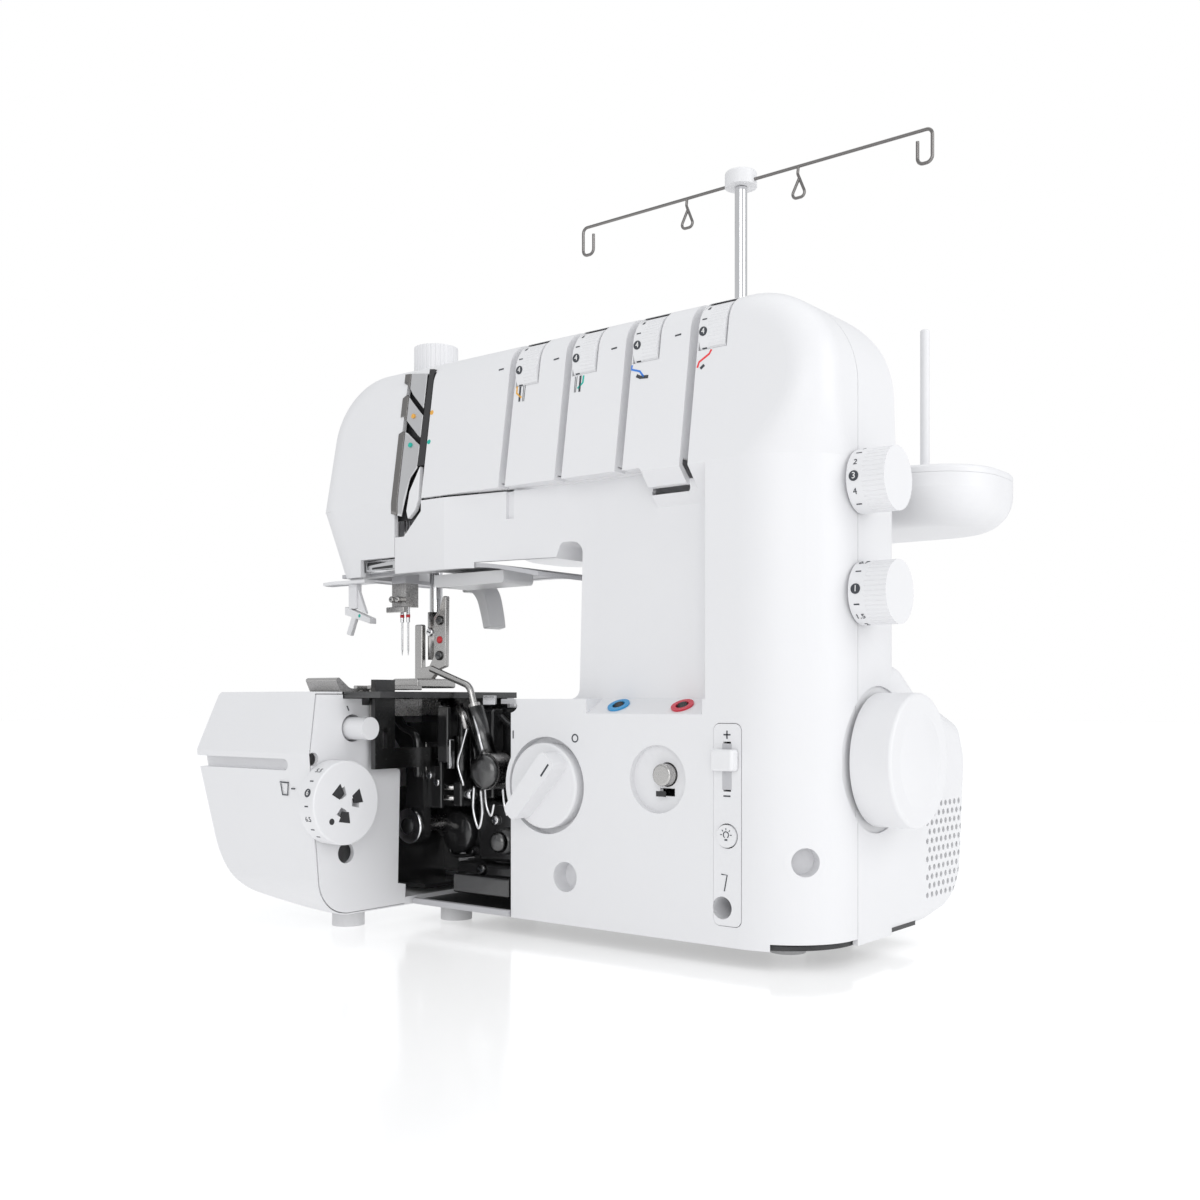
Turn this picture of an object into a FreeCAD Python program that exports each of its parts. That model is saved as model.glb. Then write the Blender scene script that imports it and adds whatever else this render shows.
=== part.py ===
import FreeCAD, Part
import math
import os

# Overlock sewing machine, millimetres. x runs to the right, y to the back, z up.
# While it is modelled, x = 0 is the left edge of the front panel beside the looper opening,
# y = 0 is the front panel's face and z = 0 is the table. save() moves every piece so that the
# origin is under the middle of the machine's outer box.

V = FreeCAD.Vector

# ---- driving sizes ----
FOOT_HEIGHT = 8.0
BODY_TOP = 288.0
BODY_RIGHT = 164.0
BODY_BACK = 80.0
BED_TOP = 112.5
WALL = 2.5
SEAM = 0.4
PART_GAP = 0.5
RUNNING_FIT = 0.04
SHAFT_PLAY = 0.6

# head
HEAD_LEFT = -145.5
HEAD_BOTTOM = 177.0
COVER_GAP_Z = 214.0
HEAD_TIP_X = 15.0
HEAD_TIP_Z = 169.6
THROAT_RIGHT = 33.0
THROAT_TOP = 187.0
LEAN = 11.0
BACK_LEAN = 12.0
FACE_COVER_RIGHT = -81.0
CHANNEL_RIGHT = -61.5
CHANNEL_BOTTOM = 196.0

# edges
CORNER_RADIUS = 36.0
TOP_EDGE_RADIUS = 16.0
BACK_EDGE = 14.0

# looper opening and motor bulge
OPENING_LEFT = -67.0
BULGE_LEFT = 48.0
BULGE_BACK = 156.0
BULGE_TOP = 101.0

# recessed front of the column, over a sloping ledge
RECESS_DEPTH = 13.0
RECESS_RIGHT = BODY_RIGHT - 53.0
LEDGE_LEFT = 46.0
LEDGE_FRONT_Z = 105.8
LEDGE_BACK_Z = BED_TOP + 0.2
RECESS_SLOPE_LEFT = 77.0

# thread grooves and tension dials
THREAD_COUNT = 4
GROOVE_FIRST = -6.4
GROOVE_PITCH = 35.4
GROOVE_WIDTH = 4.4
GROOVE_DEPTH = 8.0
DIAL_RADIUS = 15.5
DIAL_WIDTH = 13.0
DIAL_OFFSET = 3.8
DIAL_Y = 22.0
DIAL_Z = BODY_TOP - 17.5
DIAL_SLOT_GAP = 0.8
SPINDLE_RADIUS = 2.5

# free arm housing at the left
HOUSING_LEFT = -156.0
HOUSING_FRONT = -67.0
HOUSING_TOP = 116.0
HOUSING_WAIST = 86.5
PLATE_THICKNESS = 2.4
SLOT_HEIGHT = 5.5
SLOT_DEPTH = 4.5
WIDTH_DIAL_Y = -53.9
WIDTH_DIAL_Z = 63.4
WIDTH_DIAL_RADIUS = 20.0
WIDTH_DIAL_THICK = 10.5
FINE_KNOB_Y = -40.5
FINE_KNOB_Z = 98.3
FINE_KNOB_RADIUS = 5.5
FINE_KNOB_LENGTH = 13.0
PLATE_HOLE_Y = -44.5
PLATE_HOLE_Z = 38.0
PLATE_HOLE_RADIUS = 5.0
KNOB_SHAFT_RADIUS = 3.0

# front controls
KNOB_X = 22.0
KNOB_Z = 72.0
KNOB_RADIUS = 20.0
KNOB_DEPTH = 6.0
DISH_RADIUS = 22.8
DISH_DEPTH = 5.0
BUTTON_X = 89.0
BUTTON_Z = 79.3
BUTTON_RADIUS = 4.9
BUTTON_DISH_RADIUS = 15.0
FINGER_HOLE_X = 33.6
FINGER_HOLE_Z = 30.1
FINGER_HOLE_RADIUS = 7.0
TOOL_HOLE_RADIUS = 6.0
TOOL_HOLE_Z = 45.0
POCKET_DEPTH = 9.0

# control strip
STRIP_LEFT = BODY_RIGHT - 48.5
STRIP_RIGHT = BODY_RIGHT - 35.0
STRIP_BOTTOM = 17.0
STRIP_TOP = 102.0
STRIP_THICK = 1.6
SLIDER_BOTTOM = 74.0
SLIDER_TOP = 94.0
SLIDER_Z = 86.8
SLIDER_SLOT = 3.0
LIGHT_Z = 54.8
LIGHT_RADIUS = 4.8
KEY_HOLE_Z = 24.4
KEY_HOLE_RADIUS = 4.8

# side controls
SIDE_KNOB_RADIUS = 13.5
SIDE_KNOB_LENGTH = 17.0
STITCH_KNOB_Y = 37.3
STITCH_KNOB_Z = 204.1
FEED_KNOB_Y = 38.9
FEED_KNOB_Z = 157.1
WHEEL_Y = 55.9
WHEEL_Z = 86.1
WHEEL_RADIUS = 29.0
WHEEL_WIDTH = 20.0
WHEEL_GAP = 1.0
SHAFT_RADIUS = 4.8

# drive
PULLEY_X = BODY_RIGHT - 32.0
PULLEY_WIDTH = 9.0
BIG_PULLEY_RADIUS = 27.0
SMALL_PULLEY_RADIUS = 9.0
BELT_THICK = 2.0
BELT_GAP = 0.3
MOTOR_Y = 118.0
MOTOR_Z = 60.0
MOTOR_RADIUS = 25.0
MOTOR_LENGTH = 46.0
CAM_RADIUS = 6.3
CAM_OFFSET = 1.2
MOTOR_SHAFT_RADIUS = 3.0

# needle, presser and knife
NEEDLE_X = -99.5
NEEDLE_Y = 25.0
NEEDLE_SPACING = 4.6
NEEDLE_TIP_Z = 136.0
NEEDLE_BAR_RADIUS = 3.2
PRESSER_X = -93.0
PRESSER_Y = 42.0
PRESSER_BAR_RADIUS = 3.5
PLATE_TOP = 116.0
PLATE_THICK = 3.0
PLATE_LEFT = -112.0
PLATE_RIGHT = -41.0
PLATE_FRONT = -46.0
DOG_FRONT = 17.5
KNIFE_LEFT = -64.2
KNIFE_THICK = 3.0

# loopers
LOWER_PIVOT_X = -78.0
LOWER_PIVOT_Z = 46.5
UPPER_PIVOT_X = -19.0
UPPER_PIVOT_Z = 77.0
LOOPER_SHAFT_RADIUS = 4.0
FRAME_FRONT = 42.0
FRAME_THICK = 6.0
FRAME_LEFT = -104.0
FRAME_RIGHT = BODY_RIGHT - 46.0
COLUMN_LEFT = BODY_RIGHT - 68.0
BEAM_Z = BODY_TOP - 56.0
BEAM_HEIGHT = 14.0
CHEEK_LEFT = -90.0
CHEEK_THICK = 3.0
CHEEK_FRONT = 7.0
CHEEK_TOP = 100.0
SILL_BOTTOM = 15.0
LOWER_LEVER_FRONT = 10.0
LOWER_LEVER_BACK = 15.0

# spool stand
STAND_Y = 158.5
MAST_X = 30.4
SPOOL_PITCH = 73.0
SPOOL_PIN_RADIUS = 2.35
SPOOL_PIN_TOP = 300.3
SHELF_LEFT = -122.0
SHELF_RIGHT = 183.0
SHELF_FRONT = 112.0
SHELF_BACK = 198.0
SHELF_BOTTOM = 196.0
SHELF_SEAM_Z = 219.6
SHELF_TOP = 223.5
MAST_RADIUS = 3.5
MAST_TUBE_RADIUS = 4.6
MAST_TUBE_TOP = 296.0
MAST_OVERLAP = 12.0
GUIDE_BAR_Z = 402.0
GUIDE_WIRE = 0.9
GUIDE_DROP = 17.0

PRESSURE_KNOB_RADIUS = 12.0
PRESSURE_KNOB_TOP = BODY_TOP + 16.6

# ---- the middle of the outer box, worked out from the outermost pieces ----
OUTER_RIGHT = BODY_RIGHT + WHEEL_GAP + WHEEL_WIDTH
OUTER_FRONT = WIDTH_DIAL_Y - WIDTH_DIAL_RADIUS
ORIGIN_X = (HOUSING_LEFT + OUTER_RIGHT) / 2
ORIGIN_Y = (OUTER_FRONT + SHELF_BACK) / 2

os.makedirs("parts", exist_ok=True)


# ---- drawing helpers ----
def save(name, *solids):
    """Writes one sub-part, moved so that the origin is under the middle of the outer box."""
    pieces = [piece for shape in solids for piece in shape.Solids]
    whole = pieces[0] if len(pieces) == 1 else Part.makeCompound(pieces)
    whole = whole.copy()
    whole.translate(V(-ORIGIN_X, -ORIGIN_Y, 0))
    print(name, len(pieces), "solids", round(whole.Volume), "mm3", "ok" if whole.isValid() else "BAD")
    whole.exportStep("parts/" + name + ".step")


def block(x0, x1, y0, y1, z0, z1):
    """A box between two corners."""
    return Part.makeBox(x1 - x0, y1 - y0, z1 - z0, V(x0, y0, z0))


def rod(start, end, radius):
    """A round bar from one point to another."""
    start = V(*start)
    end = V(*end)
    return Part.makeCylinder(radius, (end - start).Length, start, end - start)


def tube(start, end, outer, inner):
    """A round bar with a round hole all the way through."""
    return rod(start, end, outer).cut(rod(start, end, inner))


def joined(*shapes):
    """One solid out of shapes that touch or overlap."""
    whole = shapes[0]
    for shape in shapes[1:]:
        whole = whole.fuse(shape)
    return whole.removeSplitter()


def outline(points, place):
    """A closed flat face. Each point is (a, b, corner radius), and place(a, b) puts it in space."""
    spans = []
    for index, (a, b, radius) in enumerate(points):
        before = points[index - 1]
        after = points[(index + 1) % len(points)]
        if radius <= 0:
            spans.append(((a, b), None, (a, b)))
            continue
        to_before = V(before[0] - a, before[1] - b, 0).normalize()
        to_after = V(after[0] - a, after[1] - b, 0).normalize()
        half = to_before.getAngle(to_after) / 2
        reach = radius / math.tan(half)
        middle = (to_before + to_after).normalize() * (radius / math.sin(half) - radius)
        start = (a + to_before.x * reach, b + to_before.y * reach)
        end = (a + to_after.x * reach, b + to_after.y * reach)
        spans.append((start, (a + middle.x, b + middle.y), end))
    edges = []
    for index, (start, middle, end) in enumerate(spans):
        if middle is not None:
            edges.append(Part.Arc(place(*start), place(*middle), place(*end)).toShape())
        following = spans[(index + 1) % len(spans)][0]
        if math.hypot(following[0] - end[0], following[1] - end[1]) > 1e-6:
            edges.append(Part.makeLine(place(*end), place(*following)))
    return Part.Face(Part.Wire(edges))


def front_prism(points, y0, y1, grow=0.0):
    """An outline drawn in x and z, carried from y0 to y1."""
    face = outline(points, lambda a, b: V(a, y0, b))
    if grow:
        face = face.makeOffset2D(grow)
    return face.extrude(V(0, y1 - y0, 0))


def side_prism(points, x0, x1, grow=0.0):
    """An outline drawn in y and z, carried from x0 to x1."""
    face = outline(points, lambda a, b: V(x0, a, b))
    if grow:
        face = face.makeOffset2D(grow)
    return face.extrude(V(x1 - x0, 0, 0))


def plan_prism(points, z0, z1, grow=0.0):
    """An outline drawn in x and y, carried from z0 to z1."""
    face = outline(points, lambda a, b: V(a, b, z0))
    if grow:
        face = face.makeOffset2D(grow)
    return face.extrude(V(0, 0, z1 - z0))


def rounded(solid, choose):
    """Rounds every edge for which choose(box, edge) gives a radius or a pair of end radii."""
    document = FreeCAD.newDocument("work")
    base = document.addObject("Part::Feature", "Base")
    base.Shape = solid
    fillet = document.addObject("Part::Fillet", "Round")
    fillet.Base = base
    picked = []
    for number, edge in enumerate(solid.Edges, 1):
        radii = choose(edge.BoundBox, edge)
        if radii:
            first, last = radii if isinstance(radii, tuple) else (radii, radii)
            picked.append((number, first, last))
    fillet.Edges = picked
    document.recompute()
    result = fillet.Shape.Solids[0]
    FreeCAD.closeDocument(document.Name)
    return result


def bent_wire(points, wire_radius, bend):
    """A round wire along straight runs, with an arc of radius bend at each inner point."""
    points = [V(*point) for point in points]
    edges = []
    start = points[0]
    for index in range(1, len(points) - 1):
        corner = points[index]
        back = (points[index - 1] - corner).normalize()
        onward = (points[index + 1] - corner).normalize()
        half = back.getAngle(onward) / 2
        if half > math.pi / 2 - 0.02:
            continue
        reach = bend / math.tan(half)
        inside = (back + onward).normalize() * (bend / math.sin(half) - bend)
        edges.append(Part.makeLine(start, corner + back * reach))
        edges.append(Part.Arc(corner + back * reach, corner + inside, corner + onward * reach).toShape())
        start = corner + onward * reach
    edges.append(Part.makeLine(start, points[-1]))
    path = Part.Wire(edges)
    circle = Part.Wire(Part.makeCircle(wire_radius, points[0], points[1] - points[0]))
    return path.makePipeShell([circle], True, True, 2).Solids[0]


# ---- casing: the outer block, made again smaller for its hollow inside ----
def casing(inset):
    """The head, column and bed, with the whole surface moved inwards by inset.

    Below the cover gap the front stands upright, and above it the front leans back.
    """
    front = [
        (OPENING_LEFT + SEAM, FOOT_HEIGHT, 0),
        (BODY_RIGHT, FOOT_HEIGHT, 0),
        (BODY_RIGHT, BODY_TOP, 42),
        (HEAD_LEFT + 4, BODY_TOP, 38),
        (HEAD_LEFT, COVER_GAP_Z, 0),
        (HEAD_LEFT + 17, HEAD_BOTTOM, 0),
        (-22, HEAD_BOTTOM + 0.5, 150),
        (HEAD_TIP_X, HEAD_TIP_Z, 4),
        (HEAD_TIP_X + 7, THROAT_TOP, 3),
        (THROAT_RIGHT + 1, THROAT_TOP, 6),
        (THROAT_RIGHT - 1, BED_TOP, 5),
        (OPENING_LEFT + SEAM, BED_TOP, 0),
    ]
    back_plan = [
        (HEAD_LEFT - 5, CORNER_RADIUS + 4, 0),
        (BODY_RIGHT - inset, CORNER_RADIUS + 4, 0),
        (BODY_RIGHT - inset, BODY_BACK - inset, BACK_EDGE - inset),
        (HEAD_LEFT - 5, BODY_BACK - inset, 0),
    ]
    lower_side = [
        (-5, FOOT_HEIGHT, 0),
        (-5, COVER_GAP_Z, 0),
        (BODY_BACK - BACK_LEAN / 2, COVER_GAP_Z, 0),
        (BODY_BACK, BED_TOP, 0),
        (BODY_BACK, FOOT_HEIGHT, 0),
    ]
    upper_side = [
        (0, COVER_GAP_Z, 0),
        (LEAN, BODY_TOP, 0),
        (BODY_BACK - BACK_LEAN, BODY_TOP, 26),
        (BODY_BACK - BACK_LEAN / 2, COVER_GAP_Z, 0),
    ]
    left = HEAD_LEFT - 5
    right = BODY_RIGHT + 5
    high = front_prism(front, -5, BODY_BACK + 5, -inset)
    inward = side_prism(upper_side, left, right)
    leaning = inward.copy()
    leaning.translate(V(0, inset, 0))
    forward = inward.copy()
    forward.translate(V(0, -inset, 0))
    upper = high.common(leaning).common(forward).common(block(left, right, -5, BODY_BACK, COVER_GAP_Z, BODY_TOP))
    upper = upper.Solids[0]
    edge_right = BODY_RIGHT - inset
    edge_top = BODY_TOP - inset

    def front_edges(box, edge):
        if box.YMax > LEAN + inset + 1 or box.ZLength + box.XLength < 1 or box.ZMax < COVER_GAP_Z + 1:
            return None
        if box.XMin > edge_right - 0.6:
            return CORNER_RADIUS - inset
        if box.XMin > edge_right - 43 and box.ZMin > edge_top - 43:
            starts_high = edge.valueAt(edge.FirstParameter).z > edge_top - 1
            pair = (TOP_EDGE_RADIUS - inset, CORNER_RADIUS - inset)
            return pair if starts_high else (pair[1], pair[0])
        return TOP_EDGE_RADIUS - inset

    def back_edges(box, edge):
        upright = box.YMin > BODY_BACK - 40 and box.XMin > edge_right - 0.6 and box.YLength < 14
        return BACK_EDGE - inset if upright and box.ZMin < COVER_GAP_Z + 1 else None

    upper = rounded(upper, front_edges)
    underside = max((face for face in upper.Faces if face.BoundBox.ZMax < COVER_GAP_Z + 0.01),
                    key=lambda face: face.Area)
    front_part = underside.extrude(V(0, 0, -COVER_GAP_Z)).common(block(-90, right, -5, CORNER_RADIUS + 4,
                                                                        0, COVER_GAP_Z))
    left_part = block(left, -90, inset, CORNER_RADIUS + 4, 0, COVER_GAP_Z)
    back_part = plan_prism(back_plan, 0, COVER_GAP_Z)
    lower = high.common(joined(front_part, left_part, back_part))
    lower = lower.common(side_prism(lower_side, left, right)).cut(head_corner(inset))
    return upper.fuse(lower).Solids[0]


def head_corner(inset):
    """The wedge to take off the head's lower left front edge, to carry on the rounding above it."""
    radius = TOP_EDGE_RADIUS - inset
    foot = V(HEAD_LEFT + 17 + inset, inset, HEAD_BOTTOM)
    top = V(HEAD_LEFT + inset, inset, COVER_GAP_Z)
    along = (top - foot).normalize()
    square = V(0, 1, 0).cross(along)
    if square.x < 0:
        square = square * -1
    start = foot - along * 20
    length = (top - foot).Length + 20
    wedge = Part.makePolygon([
        start - square * 3 - V(0, 3, 0),
        start + square * radius - V(0, 3, 0),
        start + square * radius + V(0, radius, 0),
        start - square * 3 + V(0, radius, 0),
        start - square * 3 - V(0, 3, 0),
    ])
    bar = Part.Face(wedge).extrude(along * length)
    centre = start + square * radius + V(0, radius, 0)
    return bar.cut(Part.makeCylinder(radius, length, centre, along))


def bulge(inset):
    """The motor compartment low on the back, reaching forward into the bed."""
    side = [
        (40, FOOT_HEIGHT, 3),
        (40, 125, 3),
        (BODY_BACK + 1, 128, 12),
        (98, 117, 20),
        (BULGE_BACK - 8, BULGE_TOP, 10),
        (BULGE_BACK, 84, 20),
        (BULGE_BACK - 7, 14, 26),
        (110, FOOT_HEIGHT, 60),
    ]
    body = side_prism(side, BULGE_LEFT + inset, BODY_RIGHT - inset, -inset)

    def outer_edges(box, edge):
        return 8 - inset if box.YMin > BODY_BACK + 8 and box.XLength < 0.5 else None

    return rounded(body.Solids[0], outer_edges)


def front_recess(grow):
    """The space in front of the set-back column face, its sloping roof and the ledge below it."""
    blend = -45
    plan = [
        (blend, -6, 0),
        (RECESS_RIGHT + grow, -6, 0),
        (RECESS_RIGHT + grow, RECESS_DEPTH + grow, 9),
        (THROAT_RIGHT, RECESS_DEPTH + grow, 90),
        (blend, grow, 0),
    ]
    space = plan_prism(plan, BED_TOP - grow, COVER_GAP_Z + grow)
    roof = [
        (-7, COVER_GAP_Z + 10, 0),
        (-7, COVER_GAP_Z + grow + 7, 0),
        (RECESS_DEPTH + grow + 3, COVER_GAP_Z + grow * 1.4 - 19, 0),
        (RECESS_DEPTH + grow + 3, COVER_GAP_Z + 10, 0),
    ]
    space = space.cut(side_prism(roof, RECESS_SLOPE_LEFT - grow, RECESS_RIGHT + 20))
    ledge = [
        (-6, LEDGE_FRONT_Z - grow * 1.1, 0),
        (0, LEDGE_FRONT_Z - grow * 1.1, 0),
        (RECESS_DEPTH + grow, LEDGE_BACK_Z - grow * 1.1, 0),
        (RECESS_DEPTH + grow, BED_TOP + 4, 0),
        (-6, BED_TOP + 4, 0),
    ]
    return joined(space, side_prism(ledge, LEDGE_LEFT - grow, RECESS_RIGHT - 1.5 + grow))


OUTER = joined(casing(0).cut(front_recess(0)), bulge(0))
INNER = joined(casing(WALL).cut(front_recess(WALL)), bulge(WALL))
SHELL = OUTER.cut(INNER)
BEHIND_GROOVE = casing(GROOVE_DEPTH)
BEHIND_CHANNEL = casing(GROOVE_DEPTH + 1.5)
SEAM_Y = CORNER_RADIUS + 0.5


def groove_x(number):
    return GROOVE_FIRST + number * GROOVE_PITCH


def dial_left(number):
    return groove_x(number) + GROOVE_WIDTH / 2 + DIAL_OFFSET - 2.4


# ---- cut-outs shared by the covers ----
def pocket(x, y, z, direction, radius, depth):
    """The wall and the space of a blind round hole: (cup, hole)."""
    direction = V(*direction).normalize()
    mouth = V(x, y, z)
    outside = mouth - direction * 8
    cup = Part.makeCylinder(radius + WALL, depth + WALL, mouth, direction)
    hole = Part.makeCylinder(radius, depth + 8, outside, direction)
    return cup, hole


FRONT_SPACE = block(HEAD_LEFT - 20, BODY_RIGHT + 20, -20, SEAM_Y - SEAM / 2, 0, 400)
REAR_SPACE = block(HEAD_LEFT - 20, BODY_RIGHT + 20, SEAM_Y + SEAM / 2, 260, 0, 400)
FACE_SPACE = block(HEAD_LEFT - 20, FACE_COVER_RIGHT, -20, BODY_BACK + 10, HEAD_BOTTOM - 10, 400)
LOOPER_OPENING = block(OPENING_LEFT - 1, 0, -20, SEAM_Y, FOOT_HEIGHT - 1, BED_TOP + 5)


def make_face_cover():
    """The cap over the left end of the head, with a notch for the thread guide."""
    cover = SHELL.common(FACE_SPACE)
    notch = block(-107, FACE_COVER_RIGHT + 1, -20, 16, HEAD_BOTTOM - 10, 186)
    knob_hole = rod((PRESSER_X, PRESSER_Y, BODY_TOP - 18), (PRESSER_X, PRESSER_Y, BODY_TOP + 12), 6)
    bottom = block(-128, FACE_COVER_RIGHT + 1, WALL + 1, BODY_BACK - WALL - 6, HEAD_BOTTOM - 5, HEAD_BOTTOM + 4)
    save("face_cover", cover.cut(notch).cut(knob_hole).cut(bottom))


def make_front_cover():
    """The front shell: head front, column front and the panel beside the looper opening."""
    cover = SHELL.common(FRONT_SPACE).cut(block(-300, FACE_COVER_RIGHT + SEAM, -20, 100, 150, 400))
    cover = cover.cut(LOOPER_OPENING)
    corner = [(-1, BED_TOP + 6, 0), (-1, LEDGE_FRONT_Z, 0), (5, LEDGE_FRONT_Z, 6), (5, BED_TOP + 6, 0)]
    channel = [
        (FACE_COVER_RIGHT - 4, BODY_TOP - 7, 0),
        (FACE_COVER_RIGHT - 4, CHANNEL_BOTTOM, 0),
        (-74, CHANNEL_BOTTOM, 0),
        (CHANNEL_RIGHT, CHANNEL_BOTTOM + 12, 0),
        (CHANNEL_RIGHT, BODY_TOP - 7, 0),
    ]
    cover = cover.cut(front_prism(channel, -20, 19))
    for number in range(THREAD_COUNT):
        middle = groove_x(number)
        half = GROOVE_WIDTH / 2
        around = block(middle - half - 2, middle + half + 2, -5, 30, COVER_GAP_Z + 3, BODY_TOP + 1)
        cover = cover.fuse(OUTER.cut(BEHIND_CHANNEL).common(around))
        cover = cover.cut(block(middle - half, middle + half, -5, 30, 200, 300).cut(BEHIND_GROOVE))
    for number in range(THREAD_COUNT):
        start = dial_left(number) - DIAL_SLOT_GAP
        end = dial_left(number) + DIAL_WIDTH + DIAL_SLOT_GAP
        cover = cover.cut(rod((start, DIAL_Y, DIAL_Z), (end, DIAL_Y, DIAL_Z), DIAL_RADIUS + DIAL_SLOT_GAP))
    gap = block(CHANNEL_RIGHT - 20, RECESS_SLOPE_LEFT - 1, -5, 9, COVER_GAP_Z - 0.6, COVER_GAP_Z + 0.6)
    cover = cover.cut(gap)
    grille = [(74, 203.4, 1.4), (98, 203.4, 1.4), (98, 206.6, 1.4), (74, 206.6, 1.4)]
    cover = cover.cut(front_prism(grille, -6, 30))
    cups = []
    holes = []
    for x, z, radius, depth in (
        (FINGER_HOLE_X, FINGER_HOLE_Z, FINGER_HOLE_RADIUS, POCKET_DEPTH),
        (KNOB_X, KNOB_Z, DISH_RADIUS, DISH_DEPTH),
        (BUTTON_X - 3, BUTTON_Z - 2, BUTTON_DISH_RADIUS, 3.5),
        (STRIP_LEFT + 4.2, KEY_HOLE_Z, KEY_HOLE_RADIUS, 25),
    ):
        cup, hole = pocket(x, 0, z, (0, 1, 0), radius, depth)
        cups.append(cup)
        holes.append(hole)
    middle = CORNER_RADIUS * (1 - math.sqrt(0.5))
    cup, hole = pocket(BODY_RIGHT - middle, middle, TOOL_HOLE_Z, (-1, 1, 0), TOOL_HOLE_RADIUS, POCKET_DEPTH)
    cups.append(cup)
    holes.append(hole)
    for cup in cups:
        cover = cover.fuse(cup.common(OUTER))
    for hole in holes:
        cover = cover.cut(hole)
    cover = cover.cut(rod((KNOB_X, -5, KNOB_Z), (KNOB_X, 30, KNOB_Z), KNOB_SHAFT_RADIUS + SHAFT_PLAY))
    cover = cover.cut(rod((BUTTON_X, -5, BUTTON_Z), (BUTTON_X, 30, BUTTON_Z), BUTTON_RADIUS + PART_GAP))
    cover = cover.cut(block(BUTTON_X - 4, BUTTON_X + 4, -5, 30, BUTTON_Z - 9.5, BUTTON_Z - 6))
    seat = [
        (STRIP_LEFT - 0.3, STRIP_BOTTOM - 0.3, 3.3),
        (STRIP_RIGHT + 0.3, STRIP_BOTTOM - 0.3, 3.3),
        (STRIP_RIGHT + 0.3, STRIP_TOP + 0.3, 3.3),
        (STRIP_LEFT - 0.3, STRIP_TOP + 0.3, 3.3),
    ]
    cover = cover.cut(front_prism(seat, -6, STRIP_THICK + 0.1))
    slider_x = (STRIP_LEFT + STRIP_RIGHT) / 2
    cover = cover.cut(block(slider_x - SLIDER_SLOT / 2 - 0.4, slider_x + SLIDER_SLOT / 2 + 0.4, -6, 20,
                            SLIDER_BOTTOM - 0.5, SLIDER_TOP + 0.5))
    cover = cover.cut(rod((slider_x, -6, LIGHT_Z), (slider_x, 20, LIGHT_Z), LIGHT_RADIUS + PART_GAP))
    for x in (60.0, 95.0):
        cover = cover.cut(port_hole(x, 4.2))
    for y, z in ((STITCH_KNOB_Y, STITCH_KNOB_Z), (FEED_KNOB_Y, FEED_KNOB_Z)):
        cover = cover.cut(rod((BODY_RIGHT - 24, y, z), (BODY_RIGHT + 6, y, z), KNOB_SHAFT_RADIUS + SHAFT_PLAY))
    cover = cover.cut(wheel_dish())
    lower = block(HEAD_LEFT, HEAD_TIP_X + 4, WALL + 0.5, 60, HEAD_TIP_Z - 6, HEAD_BOTTOM + 3)
    cover = cover.cut(lower)
    cover = cover.cut(block(OPENING_LEFT - 2, BODY_RIGHT, WALL, 60, 0, FOOT_HEIGHT + WALL + 0.5))
    cover = cover.cut(front_prism(corner, -5, WALL + 1).common(block(-2, 4, -5, 10, 100, 130)))
    save("front_cover", cover)


def ledge_middle(x):
    """The point halfway up the ledge's slope, and the direction square to the slope."""
    slope = V(0, LEDGE_FRONT_Z - LEDGE_BACK_Z, RECESS_DEPTH).normalize()
    return V(x, RECESS_DEPTH / 2, (LEDGE_BACK_Z + LEDGE_FRONT_Z) / 2), slope


def port_hole(x, radius):
    """A round hole square to the ledge's slope, at its middle."""
    middle, slope = ledge_middle(x)
    return Part.makeCylinder(radius, 16, middle - slope * 8, slope)


def wheel_dish():
    """The shallow round dish that the handwheel's rim turns in, and its shaft's hole."""
    dish = rod((BODY_RIGHT - 1.2, WHEEL_Y, WHEEL_Z), (BODY_RIGHT + 5, WHEEL_Y, WHEEL_Z), WHEEL_RADIUS + 3)
    return dish.fuse(rod((BODY_RIGHT - 44, WHEEL_Y, WHEEL_Z), (BODY_RIGHT + 6, WHEEL_Y, WHEEL_Z),
                         SHAFT_RADIUS + SHAFT_PLAY))


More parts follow.
